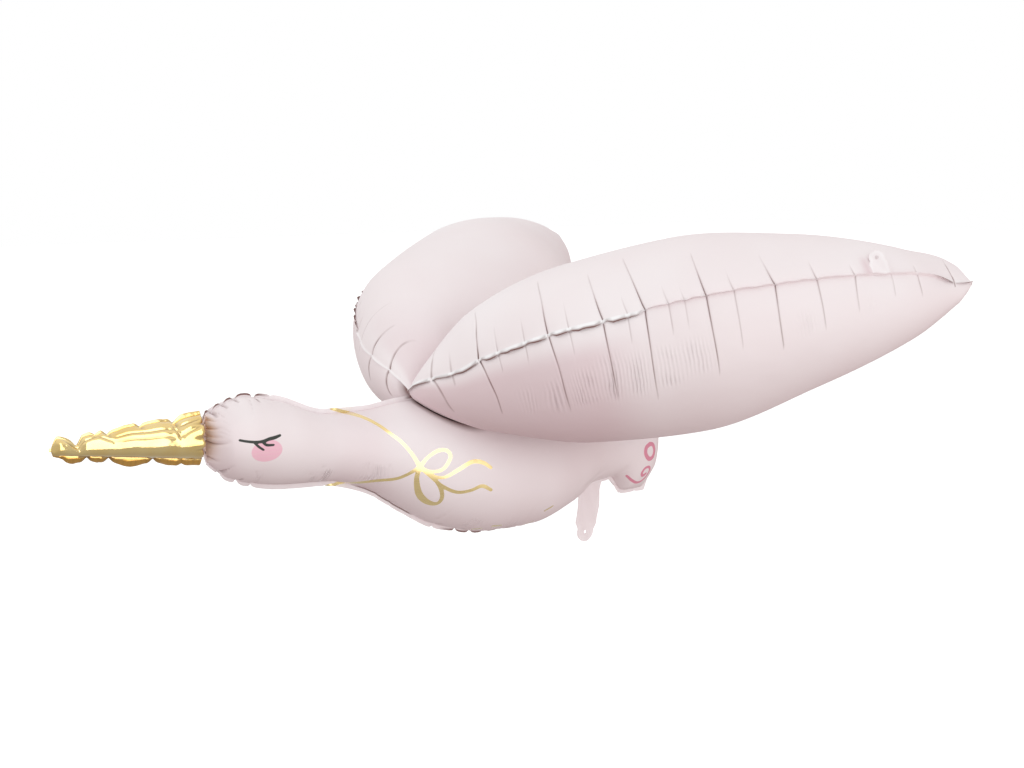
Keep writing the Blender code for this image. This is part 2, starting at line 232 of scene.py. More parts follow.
def foilMesh(name, points, along, marks, sharpAngle=75):
    # one closed envelope from a grid: columns run along it and rows all the way round it
    columns, rows = points.shape[:2]
    around = np.zeros((columns, rows))
    around[:, 1:] = np.cumsum(np.linalg.norm(np.diff(points, axis=1), axis=2), axis=1)
    shape = bmesh.new()
    bmesh.ops.create_grid(shape, x_segments=columns - 1, y_segments=rows - 1, size=1)
    layers = {mark: shape.verts.layers.float.new(mark) for mark in marks}
    foilMap = shape.loops.layers.uv.new("foilMap")
    shape.verts.index_update()

    def inOrder(values):
        # a value for each vertex, in the grid's own order
        return np.broadcast_to(values, (columns, rows)).T.ravel().tolist()

    for vert, place in zip(shape.verts, points.transpose(1, 0, 2).reshape(-1, 3).tolist()):
        vert.co = place
    for mark, values in marks.items():
        for vert, value in zip(shape.verts, inOrder(values)):
            vert[layers[mark]] = value
    lengthwise, crosswise = inOrder(along), inOrder(around)
    for face in shape.faces:
        for loop in face.loops:
            loop[foilMap].uv = (lengthwise[loop.vert.index], crosswise[loop.vert.index])
    bmesh.ops.remove_doubles(shape, verts=shape.verts, dist=0.00001)
    bmesh.ops.recalc_face_normals(shape, faces=shape.faces)
    for edge in shape.edges:
        edge.smooth = len(edge.link_faces) == 2 and edge.calc_face_angle() < math.radians(sharpAngle)
    piece = makePiece(shape, name)
    print(name, "has", sum(len(face.vertices) - 2 for face in piece.data.polygons), "triangles")
    return piece


# materials


def newMaterial(name):
    made = bpy.data.materials.new(name)
    made.use_nodes = True
    return made, made.node_tree, made.node_tree.nodes["Principled BSDF"]


def feed(tree, node, inputs):
    # links each input or sets its own value; i and a number is an input's place
    for key, value in inputs.items():
        socket = node.inputs[int(key[1:])] if key[0] == "i" and key[1:].isdigit() else node.inputs[key]
        if isinstance(value, bpy.types.NodeSocket):
            tree.links.new(value, socket)
        else:
            socket.default_value = value


def addNode(tree, kind, settings=(), **inputs):
    node = tree.nodes.new("ShaderNode" + kind)
    for key, value in dict(settings).items():
        setattr(node, key, value)
    feed(tree, node, inputs)
    return node


def maths(tree, operation, first, second=0.0):
    return addNode(tree, "Math", {"operation": operation}, i0=first, i1=second).outputs[0]


def remap(tree, value, fromLow, fromHigh, toLow, toHigh, kind="LINEAR"):
    node = addNode(tree, "MapRange", {"interpolation_type": kind}, i0=value, i1=fromLow, i2=fromHigh,
                   i3=toLow, i4=toHigh)
    return node.outputs[0]


def blendColour(tree, factor, first, second):
    node = addNode(tree, "Mix", {"data_type": "RGBA"}, i0=factor, i6=first, i7=second)
    return node.outputs[2]


def attributeValue(tree, name, strength=1.0):
    value = addNode(tree, "Attribute", {"attribute_name": name}).outputs["Fac"]
    return value if strength == 1.0 else maths(tree, "MULTIPLY", value, strength)


def noise(tree, place, scale, detail, roughness=0.5):
    node = addNode(tree, "TexNoise", Vector=place, Scale=scale, Detail=detail, Roughness=roughness)
    return node.outputs["Fac"]


def addBumps(tree, shader, rows):
    # rows: strength, distance, height; each lies on the one before it
    below = {}
    for strength, distance, height in rows:
        bump = addNode(tree, "Bump", Strength=strength, Distance=distance, Height=height, **below)
        below = {"Normal": bump.outputs[0]}
    feed(tree, shader, below)


pinkFinish = {
    "light": (0.890, 0.812, 0.826, 1),
    "deep": (0.870, 0.776, 0.790, 1),
    # painted shade: the dark put into creases, folds, weld rims, hollows, ripples, the throat's fold and
    # under the wings
    "creaseShadeTone": (0.17, 0.065, 0.055, 1),
    "shadeTone": (0.45, 0.14, 0.19, 1),
    # painted highlight on the welds, beside their real gloss
    "weldPaintedLight": (0.93, 0.91, 0.92, 1),
    # painted reflection of the gold beak on the head's pleats
    "reflectedGoldTone": (0.86, 0.50, 0.28, 1),
    "gold": (0.74, 0.53, 0.19, 1),
    "goldPale": (0.82, 0.63, 0.27, 1),
    "ink": (0.050, 0.056, 0.050, 1),
    "blush": (0.90, 0.53, 0.63, 1),
    "blushLines": (0.89, 0.55, 0.63, 1),
    "rose": (0.70, 0.28, 0.37, 1),
    "metallic": 0.02,
    "roughness": (0.48, 0.58),
    "ripplePitch": 0.0050,
    # strength of the painted shade on the ripples' dark lines
    "rippleShade": 0.05,
    "rippleDrift": 9.0,
    "rippleDepth": 0.0007,
    # share of each tone where its mark is full
    "strengths": {"shade": 0.35, "weld": 0.9, "reflectedGold": 0.85, "crease": 0.95},
    # half of the soft edge of a print, and of the gold's, in metres; both sides of the edge of the throat
    # fold's painted shade, and how strong it is
    "printEdge": 0.00025,
    "giltEdge": 0.00022,
    "throatFoldShadeEdge": (0.0009, -0.0005),
    "throatFoldShadeTone": 0.75,
}


def pinkFoil(name, printed):
    facts = pinkFinish
    made, tree, shader = newMaterial(name)
    place = addNode(tree, "TexCoord").outputs["Object"]
    cloud = noise(tree, place, 6.0, 2.0)
    grain = noise(tree, place, 900.0, 2.0)
    haze = noise(tree, addNode(tree, "Mapping", i0=place, i3=(30.0, 30.0, 120.0)).outputs[0], 1.0, 4.0)

    # fine parallel ripples at the creases' ends, on the envelope's own map
    onFoil = addNode(tree, "UVMap", {"uv_map": "foilMap"}).outputs[0]
    split = addNode(tree, "SeparateXYZ", i0=onFoil)
    drift = maths(tree, "MULTIPLY", noise(tree, place, 22.0, 2.0), facts["rippleDrift"])
    turn = maths(tree, "MULTIPLY", split.outputs[0], 2 * math.pi / facts["ripplePitch"])
    wave = maths(tree, "SINE", maths(tree, "ADD", turn, drift))
    wave = maths(tree, "MULTIPLY", wave, attributeValue(tree, "ripple"))
    patches = remap(tree, noise(tree, place, 40.0, 1.0), 0.35, 0.6, 0.35, 1, "SMOOTHSTEP")
    wave = maths(tree, "MULTIPLY", wave, patches)

    def toned(colour, mark, tone):
        cover = attributeValue(tree, mark, facts["strengths"][mark])
        return blendColour(tree, cover, colour, facts[tone])

    colour = blendColour(tree, remap(tree, cloud, 0.35, 0.65, 0, 1), facts["deep"], facts["light"])
    # painted shade where the shade mark is, and a painted highlight on the welds
    colour = toned(toned(colour, "shade", "shadeTone"), "weld", "weldPaintedLight")
    if printed:
        # painted shade on the ripples' dark lines, then the painted reflection of the gold beak
        lined = remap(tree, wave, 0.1, 0.8, 0, facts["rippleShade"])
        colour = toned(blendColour(tree, lined, colour, facts["creaseShadeTone"]), "reflectedGold", "reflectedGoldTone")
    # painted shade in creases, folds, weld rims and hollows
    colour = toned(colour, "crease", "creaseShadeTone")
    rough = remap(tree, haze, 0.3, 0.7, *facts["roughness"])
    rough = maths(tree, "SUBTRACT", rough, attributeValue(tree, "weld", 0.14))
    metal = maths(tree, "ADD", attributeValue(tree, "weld", 0.15), facts["metallic"])
    if printed:
        for mark in ("blush", "rose", "ink"):
            cover = remap(tree, attributeValue(tree, mark), facts["printEdge"], -facts["printEdge"], 0, 1)
            if mark == "blush":
                lines = addNode(tree, "TexWave", {"bands_direction": "Z"}, Vector=place, Scale=60.0,
                                Distortion=3.0)
                shown = blendColour(tree, lines.outputs["Fac"], facts["blushLines"], facts["blush"])
            else:
                speckle = remap(tree, grain, 0.3, 0.7, 0, 0.25)
                flecks = tuple(part * 1.5 for part in facts[mark][:3]) + (1,)
                shown = blendColour(tree, speckle, facts[mark], flecks)
            colour = blendColour(tree, cover, colour, shown)
        # painted shade along the throat's fold
        throatFoldShade = remap(tree, attributeValue(tree, "throatFoldShade"), *facts["throatFoldShadeEdge"], 0, facts["throatFoldShadeTone"])
        colour = blendColour(tree, throatFoldShade, colour, facts["creaseShadeTone"])
        gilt = remap(tree, attributeValue(tree, "ribbon"), facts["giltEdge"], -facts["giltEdge"], 0, 1)
        sheen = blendColour(tree, haze, facts["gold"], facts["goldPale"])
        colour = blendColour(tree, gilt, colour, sheen)
        metal = maths(tree, "MAXIMUM", metal, maths(tree, "MULTIPLY", gilt, 0.85))
        rough = maths(tree, "SUBTRACT", rough, maths(tree, "MULTIPLY", gilt, 0.25))
        feed(tree, shader, {"Coat Weight": gilt, "Coat IOR": 1.9, "Coat Roughness": 0.2})
    feed(tree, shader, {"Base Color": colour, "Roughness": rough, "Metallic": metal,
                        "Specular IOR Level": 0.14})
    soft = noise(tree, place, 34.0, 3.0, 0.45)
    addBumps(tree, shader, ((1.0, facts["rippleDepth"], wave), (0.25, 0.0025, soft), (0.06, 0.0004, grain)))
    return made


goldFinish = {
    "bright": (0.80, 0.61, 0.27, 1),
    "deep": (0.75, 0.52, 0.175, 1),
    # painted shade on the lower weld, which faces down
    "weldPaintedLight": (0.60, 0.31, 0.05, 1),
    # painted shade for the beak's creases, pleats and folds
    "creaseShadeTone": (0.20, 0.10, 0.025, 1),
    "roughness": (0.08, 0.15),
}


def goldFoil(name):
    facts = goldFinish
    made, tree, shader = newMaterial(name)
    place = addNode(tree, "TexCoord").outputs["Object"]
    cloud = remap(tree, noise(tree, place, 25.0, 2.0), 0.35, 0.65, 0, 1)
    haze = noise(tree, addNode(tree, "Mapping", i0=place, i3=(18.0, 90.0, 160.0)).outputs[0], 1.0, 4.0)
    colour = blendColour(tree, cloud, facts["deep"], facts["bright"])
    # painted shade on the lower weld, which faces down
    colour = blendColour(tree, attributeValue(tree, "weld"), colour, facts["weldPaintedLight"])
    # painted shade in the beak's creases, pleats and folds
    colour = blendColour(tree, attributeValue(tree, "crease", 0.85), colour, facts["creaseShadeTone"])
    feed(tree, shader, {"Base Color": colour, "Roughness": remap(tree, haze, 0.3, 0.7, *facts["roughness"]),
                        "Metallic": 1.0, "Coat Weight": 0.7, "Coat IOR": 1.6, "Coat Roughness": 0.06})
    addBumps(tree, shader, ((0.35, 0.0012, haze), (0.3, 0.0012, noise(tree, place, 60.0, 2.0))))
    return made


# body profile, shared with the wings' seat

weld = {"width": 0.008, "half": 0.0003, "endWidth": 0.003}

body = {
    "length": 0.730,
    "height": 0.222,
    "width": 0.192,
    "headRounding": 0.018,
    "tailRounding": 0.036,
    "seatX": -0.6032,
    "seatZ": 0.0268,
    # share of the length, shares of the height at the lower and the upper weld, share of the width
    "profile": (
        (0.000, 0.650, 0.915, 0.42),
        (0.033, 0.548, 0.975, 0.48),
        (0.066, 0.505, 1.000, 0.51),
        (0.136, 0.468, 0.955, 0.51),
        (0.229, 0.450, 0.852, 0.45),
        (0.304, 0.383, 0.847, 0.52),
        (0.381, 0.232, 0.874, 0.73),
        (0.459, 0.092, 0.883, 0.90),
        (0.570, 0.010, 0.850, 1.00),
        (0.655, 0.012, 0.800, 0.97),
        (0.744, 0.095, 0.735, 0.82),
        (0.816, 0.212, 0.665, 0.61),
        (0.889, 0.232, 0.610, 0.47),
        (0.916, 0.165, 0.640, 0.465),
        (0.937, 0.127, 0.668, 0.46),
        (0.981, 0.126, 0.685, 0.42),
        (1.000, 0.126, 0.626, 0.38),
    ),
    # creases: share of the length, reach round the section in degrees, strength
    "crownCreases": ((0.010, 34, 1.0), (0.029, 22, 0.9), (0.050, 18, 0.8), (0.086, 24, 0.9),
                     (0.120, 10, 0.3), (0.900, 30, 0.7), (0.965, 24, 0.6)),
    "bellyCreases": ((0.021, 30, 1.0), (0.050, 26, 0.9), (0.078, 18, 0.5), (0.210, 18, 0.1),
                     (0.226, 26, 0.15), (0.243, 20, 0.1), (0.330, 16, 0.15), (0.360, 18, 0.15),
                     (0.455, 18, 0.4), (0.507, 16, 0.6), (0.541, 18, 0.7), (0.575, 16, 0.7),
                     (0.610, 18, 0.6), (0.655, 14, 0.3), (0.885, 30, 0.2), (0.935, 24, 0.3),
                     (0.985, 22, 0.2)),
    "creaseDepth": 0.0018,
    "creaseHalfWidth": 0.0024,
    "pinchDepth": 0.0042,
    "pinchReach": 0.010,
    "pinchSpread": math.radians(15),
    # points and crowding from weld to weld, and the rows across a weld; columns beside a crease, in metres
    "rings": (112, 0.15, (0.86, 0.55, 0.22)),
    "creaseColumns": (0.0, 0.0012, 0.0026, 0.0046),
    "spacing": 0.0042,
    # from, to and spacing where the prints are
    "fineColumns": ((0.0032, 0.0882, 0.0019), (0.1732, 0.3782, 0.0022), (0.6532, 0.7032, 0.0022)),
    "closest": 0.0006,
    # share of the length, share of the weld's width, how much painted shade its folded scallops get
    "crownWeld": ((0.00, 0.70, 1.2), (0.008, 0.70, 1.2), (0.012, 0.50, 1.2), (0.09, 0.50, 1.2),
                  (0.12, 0.80, 0.0), (0.395, 0.8, 0.0), (0.41, 0.8, 0.9), (0.44, 0.8, 0.9),
                  (0.46, 0.8, 0.0), (0.88, 0.8, 0.0), (1.00, 0.7, 0.0)),
    "bellyWeld": ((0.00, 0.5, 0.1), (0.06, 0.6, 0.1), (0.12, 0.9, 0.0), (0.47, 0.8, 0.0),
                  (0.50, 0.55, 0.9), (0.62, 0.55, 0.9), (0.65, 0.7, 0.0), (0.88, 0.8, 0.0),
                  (1.00, 0.7, 0.0)),
    # ripples above the lower weld: share, reach in share, from and to in degrees, strength
    "ripples": ((0.076, 0.008, 6, 46, 0.9), (0.180, 0.007, 6, 46, 0.8), (0.206, 0.009, 6, 60, 1.1),
                (0.292, 0.026, 34, 76, 0.9), (0.500, 0.020, 6, 44, 0.7), (0.590, 0.030, 6, 40, 0.6)),
    # how the welds wave: swing in degrees, length in metres
    "weldWave": (10, 0.023),
    # how much the front is drawn in at the beak's weld, and over how many metres
    "rootTuck": (0.35, 0.0035),
    # strength and reach of the shade behind the beak; strength, place and half width of the throat's shade
    "headShade": (0.45, 0.04),
    "throatShade": (0.3, -0.40, 0.05),
    # where the back lies under the wings, its gap to them, and how far the contact's shade reaches
    "underWings": (-0.32, 0.14),
    "contactGap": 0.0016,
    "contactReach": 0.010,
    # share of its width that a weld loses at a crease, and what it loses more where its scallops get painted
    # shade; its shine, a painted highlight as well as gloss
    "weldDrawn": (0.4, 0.5),
    "weldShine": 0.2,
    # the plain weld where the tether tab hangs: its middle, half width and fade along x, in metres
    "plainWeld": (0.005, 0.028, 0.01),
    # share where the tail's cut starts and over what share it grows
    "cutSpan": (0.86, 0.12),
    # how far the tail's end is cut back at each height, in metres
    "tailCut": ((0.045, 0.025), (0.069, 0.015), (0.093, 0.005), (0.118, 0.0015), (0.135, 0.0)),
}

wings = {
    "length": 0.750,
    "chord": 0.297,
    "thickness": 0.256,
    "neckThickness": 0.016,
    "seatGap": 0.002,
    "sweep": math.radians(51.8),
    "dihedral": math.radians(11.5),
    "roll": math.radians(18.1),
    "twist": math.radians(12.3),
    "station": 0.4247,
    "tipRounding": 0.022,
    "tipWeld": 0.003,
    # how far the near wing's leading weld hangs at its root, and where it starts, ends and fades, in metres
    "rootDroop": 0.008,
    "droopSpan": (0.015, 0.105, 0.06),
    "neckBlend": 0.11,
    # share of the length, shares of the chord before and behind the wing's line, share of the thickness
    "profile": (
        (0.00, 0.032, 0.118, 0.086),
        (0.12, 0.386, 0.100, 0.609),
        (0.30, 0.563, 0.369, 0.916),
        (0.50, 0.543, 0.437, 1.000),
        (0.70, 0.430, 0.297, 0.797),
        (0.88, 0.240, 0.178, 0.483),
        (1.00, 0.012, 0.012, 0.100),
    ),
    # leading creases: share, reach above and below the weld in degrees, strength, drift above and below
    "leftCreases": (
        (0.063, 62, 56, 0.7, 0.000, 0.020),
        (0.088, 24, 17, 0.4, 0.000, 0.005),
        (0.135, 54, 53, 1.0, 0.008, 0.028),
        (0.171, 20, 18, 0.5, 0.000, 0.006),
        (0.220, 16, 15, 0.4, 0.000, 0.002),
        (0.261, 46, 52, 1.0, -0.003, 0.015),
        (0.297, 16, 18, 0.4, -0.004, 0.004),
        (0.355, 33, 48, 1.0, -0.018, 0.000),
        (0.397, 10, 18, 0.4, -0.020, -0.004),
        (0.427, 42, 52, 1.0, -0.026, -0.007),
        (0.467, 10, 16, 0.5, -0.022, -0.003),
        (0.494, 6, 15, 0.3, -0.020, -0.003),
        (0.531, 32, 45, 1.0, -0.018, -0.003),
        (0.578, 12, 33, 0.5, -0.024, -0.005),
        (0.648, 23, 43, 0.9, -0.030, -0.008),
        (0.720, 15, 36, 0.6, -0.020, 0.000),
        (0.787, 10, 30, 0.5, -0.020, -0.010),
        (0.851, 6, 24, 0.3, -0.010, 0.000),
        (0.899, 14, 29, 0.5, -0.010, 0.000),
        (0.967, 46, 24, 0.9, -0.012, 0.000),
    ),
    "rightCreases": (
        (0.045, 72, 60, 1.0, 0.020, 0.001),
        (0.081, 54, 36, 1.0, 0.010, 0.004),
        (0.125, 54, 14, 0.35, 0.018, 0.012),
        (0.165, 14, 20, 0.8, 0.000, 0.006),
        (0.192, 12, 18, 0.6, 0.000, 0.002),
        (0.218, 14, 18, 0.8, 0.000, 0.002),
        (0.246, 12, 18, 0.7, 0.000, 0.004),
        (0.272, 14, 30, 0.8, 0.000, 0.004),
        (0.300, 12, 18, 0.7, 0.000, 0.004),
        (0.330, 14, 18, 0.7, -0.010, 0.000),
        (0.362, 24, 44, 0.9, -0.018, 0.000),
        (0.430, 36, 50, 1.0, -0.020, -0.007),
        (0.485, 12, 20, 0.4, -0.020, -0.003),
        (0.537, 30, 44, 0.9, -0.018, -0.003),
        (0.590, 14, 30, 0.5, -0.024, -0.005),
        (0.655, 24, 42, 0.9, -0.030, -0.008),
        (0.728, 16, 34, 0.6, -0.020, 0.000),
        (0.795, 12, 30, 0.5, -0.020, -0.010),
        (0.896, 16, 28, 0.5, -0.010, 0.000),
        (0.966, 50, 50, 0.5, 0.000, 0.000),
    ),
    # trailing creases: share, reach in degrees, strength
    "trailingCreases": ((0.080, 20, 0.4), (0.135, 40, 0.8), (0.171, 16, 0.4), (0.220, 20, 0.4),
                        (0.261, 48, 1.0), (0.297, 16, 0.4), (0.355, 42, 0.8), (0.397, 18, 0.4),
                        (0.427, 50, 1.0), (0.467, 14, 0.4), (0.531, 44, 0.9), (0.578, 22, 0.4),
                        (0.648, 46, 1.0), (0.720, 24, 0.5), (0.787, 34, 0.8), (0.851, 20, 0.4),
                        (0.899, 30, 0.6), (0.967, 40, 0.5)),
    # how much fuller the blunt tips are above; share where that starts, shares over which it grows and ends
    "tipRise": 0.010,
    "bluntSpan": (0.90, 0.07, 0.014),
    # points and crowding from weld to weld, and the rows across a weld; columns beside a crease, in metres
    "rings": (50, 0.25, (0.88, 0.76, 0.5, 0.22)),
    "creaseColumns": (0.0, 0.0006, 0.0014, 0.0024, 0.0038, 0.0052),
    "spacing": 0.0075,
    "fineColumns": (),
    "closest": 0.0006,
    # how squarely creases drift off the weld, on the left and the right wing, and how all columns wave
    "driftPower": (0.8, 1.5),
    "driftWave": (0.0016, 0.9),
    # painted crease shade near and far from the leading weld, on the lower and the upper sheet
    "leadingCreaseShades": ((0.7, 1.1), (0.8, 0.3)),
    "pinchSpread": math.radians(9),
    # share of its width that a weld loses at a crease, and what the right one loses more where its rim gets
    # painted shade
    "weldDrawn": (0.3, 0.5),
    # share up to which the near wing's weld is curled and bright
    "curledShare": 0.43,
    # there, behind each crease: how far, over what reach and by what share the weld is narrower
    "narrowed": (0.005, 0.004, 0.4),
    # and on both sides of it a dimple: how far, its half width, its least painted shade and what a full
    # crease adds
    "dimple": (0.0045, 0.0012, 0.3, 0.5),
    # shine of the right wing's leading weld, as a share of the left one's, and of the trailing weld
    "rightShine": 0.4,
    "trailingShine": 0.2,
    # place and half width of the painted shade in the hollow at the far wing's root
    "rootHollow": (0.007, 0.008),
    # how the leading and the trailing weld wave: swing in degrees, length in metres
    "leadingWave": (10, 0.029),
    "trailingWave": (14, 0.026),
    # shades: between the wings, under the far wing, at its root; the shares where two of them fade
    "innerShade": 0.74,
    "innerSpan": (0.44, 0.14),
    "farShade": 0.15,
    "rootShade": 0.4,
    "rootSpan": (0.03, 0.12),
    # share, reach in share and strength of the shade beside the small tab
    "tabShade": (0.812, 0.009, 0.8),
    "creaseDepth": 0.0015,
    "creaseHalfWidth": 0.0015,
    "pinchDepth": 0.0030,
    "pinchReach": 0.012,
    # ripples: share, reach in share, from and to in degrees from the leading weld, strength
    "ripples": ((0.205, 0.012, 28, 54, 0.5), (0.255, 0.012, 26, 54, 0.9), (0.308, 0.018, 24, 52, 0.9),
                (0.352, 0.014, 16, 52, 1.0), (0.395, 0.016, 20, 52, 0.7), (0.447, 0.018, 20, 48, 0.9),
                (0.495, 0.020, 18, 44, 0.7), (0.690, 0.014, 16, 40, 0.5), (0.800, 0.012, 14, 36, 0.3)),
    # how the leading weld curls over its width, in degrees, downwards where positive, and its share of width
    "weldCurl": ((0.00, 40), (0.03, 72), (0.41, 72), (0.435, 10), (0.80, 4), (0.925, -6), (0.955, 50),
                 (0.967, 75), (0.985, 60), (1.00, 20)),
    "rightWeldCurl": ((0.00, 40), (0.08, 65), (0.14, 60), (0.17, -25), (0.30, -40), (0.45, -60),
                      (0.50, -10), (1.00, -10)),
    "weldShare": ((0.00, 0.4), (0.03, 1.0), (0.40, 1.15), (0.43, 0.6), (0.50, 0.7), (0.925, 0.8),
                  (0.950, 1.1), (0.970, 1.0), (1.00, 0.7)),
    "rightWeldShare": ((0.00, 0.4), (0.08, 0.45), (0.14, 0.4), (0.16, 0.55), (0.26, 0.6), (0.32, 1.0),
                       (0.40, 1.5), (0.45, 1.6), (0.48, 0.8), (1.00, 0.8)),
    # how much painted shade its rolled edge gets
    "weldRimShade": ((0.00, 0.8), (0.03, 1.0), (0.40, 1.0), (0.43, 0.1), (0.46, 0.0), (0.930, 0.0),
                 (0.938, 0.8), (0.965, 0.8), (0.975, 0.3), (0.985, 0.3), (0.992, 1.0), (1.00, 1.0)),
    "rightWeldRimShade": ((0.00, 0.0), (0.15, 0.0), (0.165, 1.0), (0.46, 1.0), (0.47, 0.0), (1.00, 0.0)),
    # how glossy the leading weld is, and how much painted highlight it gets
    "weldShine": ((0.00, 0.5), (0.03, 1.0), (0.40, 1.0), (0.44, 0.25), (0.90, 0.2), (0.93, 0.35),
                  (1.00, 0.3)),
}

bottomCurve, topCurve, widthCurve = profileCurves(body["profile"])
wings["neck"] = np.array((
    body["seatX"] + wings["station"] * body["length"],
    0.0,
    body["seatZ"] + float(topCurve(wings["station"])) * body["height"] + wings["neckThickness"] / 2
    + wings["seatGap"],
))


# wings


def wingAxes(share):
    # span, chord and upward directions at signed shares of the wings, as the solids have them
    facts = wings

    def oneSide(facing):
        flat = math.cos(facts["dihedral"])
        span = np.stack([
            np.full_like(facing, math.sin(facts["sweep"]) * flat),
            facing * math.cos(facts["sweep"]) * flat,
            np.full_like(facing, math.sin(facts["dihedral"])),
        ], axis=-1)
        level = unit(facing[..., None] * np.cross(np.array((0.0, 0.0, 1.0)), span))
        upright = unit(facing[..., None] * np.cross(span, level))
        roll = (facts["roll"] + facts["twist"] * np.abs(share))[..., None]
        across = level * np.cos(roll) + upright * np.sin(roll)
        return span, across, upright * np.cos(roll) - level * np.sin(roll)

    side = np.where(share < 0, -1.0, 1.0)
    own, other = oneSide(side), oneSide(-side)
    lean = (0.5 - 0.5 * smoothStep(np.abs(share) / facts["neckBlend"]))[..., None]
    chord = unit(own[1] * (1 - lean) + other[1] * lean)
    up = own[2] * (1 - lean) + other[2] * lean
    up = unit(up - chord * np.sum(up * chord, axis=-1, keepdims=True))
    return own[0], chord, up


def wingSurface():
    facts = wings
    length = facts["length"]
    sides = []
    for key in ("leftCreases", "rightCreases"):
        creases = [row[0] * length for row in facts[key]]
        ends = roundedPlaces(length, -facts["tipRounding"])
        sides.append(columnPlaces(facts, length + facts["tipWeld"], creases, ends))
    along = np.concatenate([-sides[0][::-1], sides[1][1:]])[:, None]
    angle, weldRow, sheet = ringRows(*facts["rings"])

    # a crease's columns drift along the span as they leave the weld, and so do the columns between
    place = np.minimum(np.abs(along) / length, 1.0)
    drift = np.zeros((len(along), angle.shape[1]))
    for key, side in (("leftCreases", -1), ("rightCreases", 1)):
        rows = facts[key]
        for column, facing in ((4, 1), (5, -1)):
            shift = np.interp(place[:, 0], [0, *[row[0] for row in rows], 1],
                              [0, *[row[column] for row in rows], 0])
            bend = shift[:, None] * np.cos(angle) ** facts["driftPower"][side > 0]
            drift += np.where((np.sign(along) == side) & (sheet == facing), bend, 0)
    swing, wave = facts["driftWave"]
    drift += swing * unevenWave(angle + 9 * along, wave) * np.cos(angle)
    share = np.clip(place + drift * smoothStep(place / 0.02), 0.0, 1.0)
    signed = np.where(along < 0, -share, share)
    leading, trailing, thickness = profileCurves(facts["profile"])
    span, chord, up = wingAxes(signed)
    line = span * (share * length + np.maximum(np.abs(along) - length, 0))[..., None]
    fullness = thickness(share) * facts["thickness"] / 2
    neck = np.clip(1 - share / facts["neckBlend"], 0, 1)
    rootFullness = facts["neckThickness"] / 2 - float(thickness(0.0)) * facts["thickness"] / 2
    fullness = fullness + neck * rootFullness
    closing = endRounding((1 - place) * length, facts["tipRounding"])
    depth = fullness * closing
    half = (leading(share) + trailing(share)) * facts["chord"] / 2
    middle = line + chord * ((leading(share) - trailing(share)) * facts["chord"] / 2)[..., None]
    spread = chord * (half * np.sin(angle))[..., None] + up * (depth * np.cos(angle) * sheet)[..., None]
    outward = unit(spread)

    # creases and pinches, from the leading and the trailing weld, with painted shade in the creases
    dent, tone, pinch = [np.zeros_like(share) for _ in range(3)]
    fromLeading, fromTrailing = math.pi / 2 - angle, math.pi / 2 + angle
    for key, side in (("leftCreases", -1), ("rightCreases", 1)):
        onSide = np.sign(along) == side
        for column, facing in ((1, 1), (2, -1)):
            rows = [(row[0] * length, row[column], row[3]) for row in facts[key]]
            deep, dark = grooves(np.abs(along), rows, facts["creaseDepth"], facts["creaseHalfWidth"],
                                 fromLeading, facts["leadingCreaseShades"][facing > 0])
            here = onSide & ((sheet == facing) | (sheet == 0))
            dent += np.where(here, deep, 0)
            tone += np.where(here & (weldRow == 0), dark, 0)
        rows = [(row[0] * length, 0, row[3]) for row in facts[key]]
        pulled = pinches(np.abs(along), rows, facts["pinchReach"])
        pinch += np.where(onSide, pulled * np.exp(-fromLeading / facts["pinchSpread"]), 0)
    rows = inMetres(facts["trailingCreases"], length)
    deep, dark = grooves(np.abs(along), rows, facts["creaseDepth"], facts["creaseHalfWidth"], fromTrailing)
    dent += deep
    tone += dark * (weldRow == 0)
    pinch += pinches(np.abs(along), rows, facts["pinchReach"]) * np.exp(-fromTrailing / facts["pinchSpread"])
    ends = smoothStep((length - np.abs(along)) / 0.004)
    dent = (dent + pinch * facts["pinchDepth"]) * ends
    points = middle + spread - outward * np.minimum(dent, 0.8 * np.linalg.norm(spread, axis=-1))[..., None]

    # the weld: leading one curled over, trailing one nearly straight and wavy
    left = along < 0

    def bySide(leftKey, rightKey):
        return np.where(left, *[readTable(facts[key], place) for key in (leftKey, rightKey)])

    swing, wave = facts["leadingWave"]
    curl = bySide("weldCurl", "rightWeldCurl") + swing * unevenWave(along, wave)
    width = bySide("weldShare", "rightWeldShare")
    drawn = pinch.max(axis=1)[:, None]
    cusps = np.where(left, 0.0, readTable(facts["rightWeldRimShade"], place))
    least, more = facts["weldDrawn"]
    width = weld["width"] * width * (1 - (least + more * cusps) * drawn)
    high = (angle > 0) & (weldRow > 0)
    low = (angle < 0) & (weldRow > 0)
    dimple = np.zeros_like(along)
    away, reach, loss = facts["narrowed"]
    beside, halfWidth, least, more = facts["dimple"]
    for row in facts["leftCreases"]:
        if row[0] < facts["curledShare"]:
            gap = (np.abs(along) - row[0] * length - away) / reach
            width = width * np.where(left, 1 - loss * row[3] * np.exp(-gap ** 2), 1)
            gap = (np.abs(along + row[0] * length) - beside) / halfWidth
            dimple = np.maximum(dimple, (least + more * row[3]) * np.exp(-gap ** 2))
    fold = np.radians(curl) * smoothStep(weldRow / 0.25)
    out, bend = width * weldRow * np.cos(fold), width * weldRow * np.sin(fold)
    points += np.where(high, out, 0)[..., None] * chord - np.where(high, bend, 0)[..., None] * up
    swing, wave = facts["trailingWave"]
    out, bend = weldOffset(weld["width"], weldRow, swing * unevenWave(along, wave))
    points += np.where(low, -out, 0)[..., None] * chord + np.where(low, bend, 0)[..., None] * up
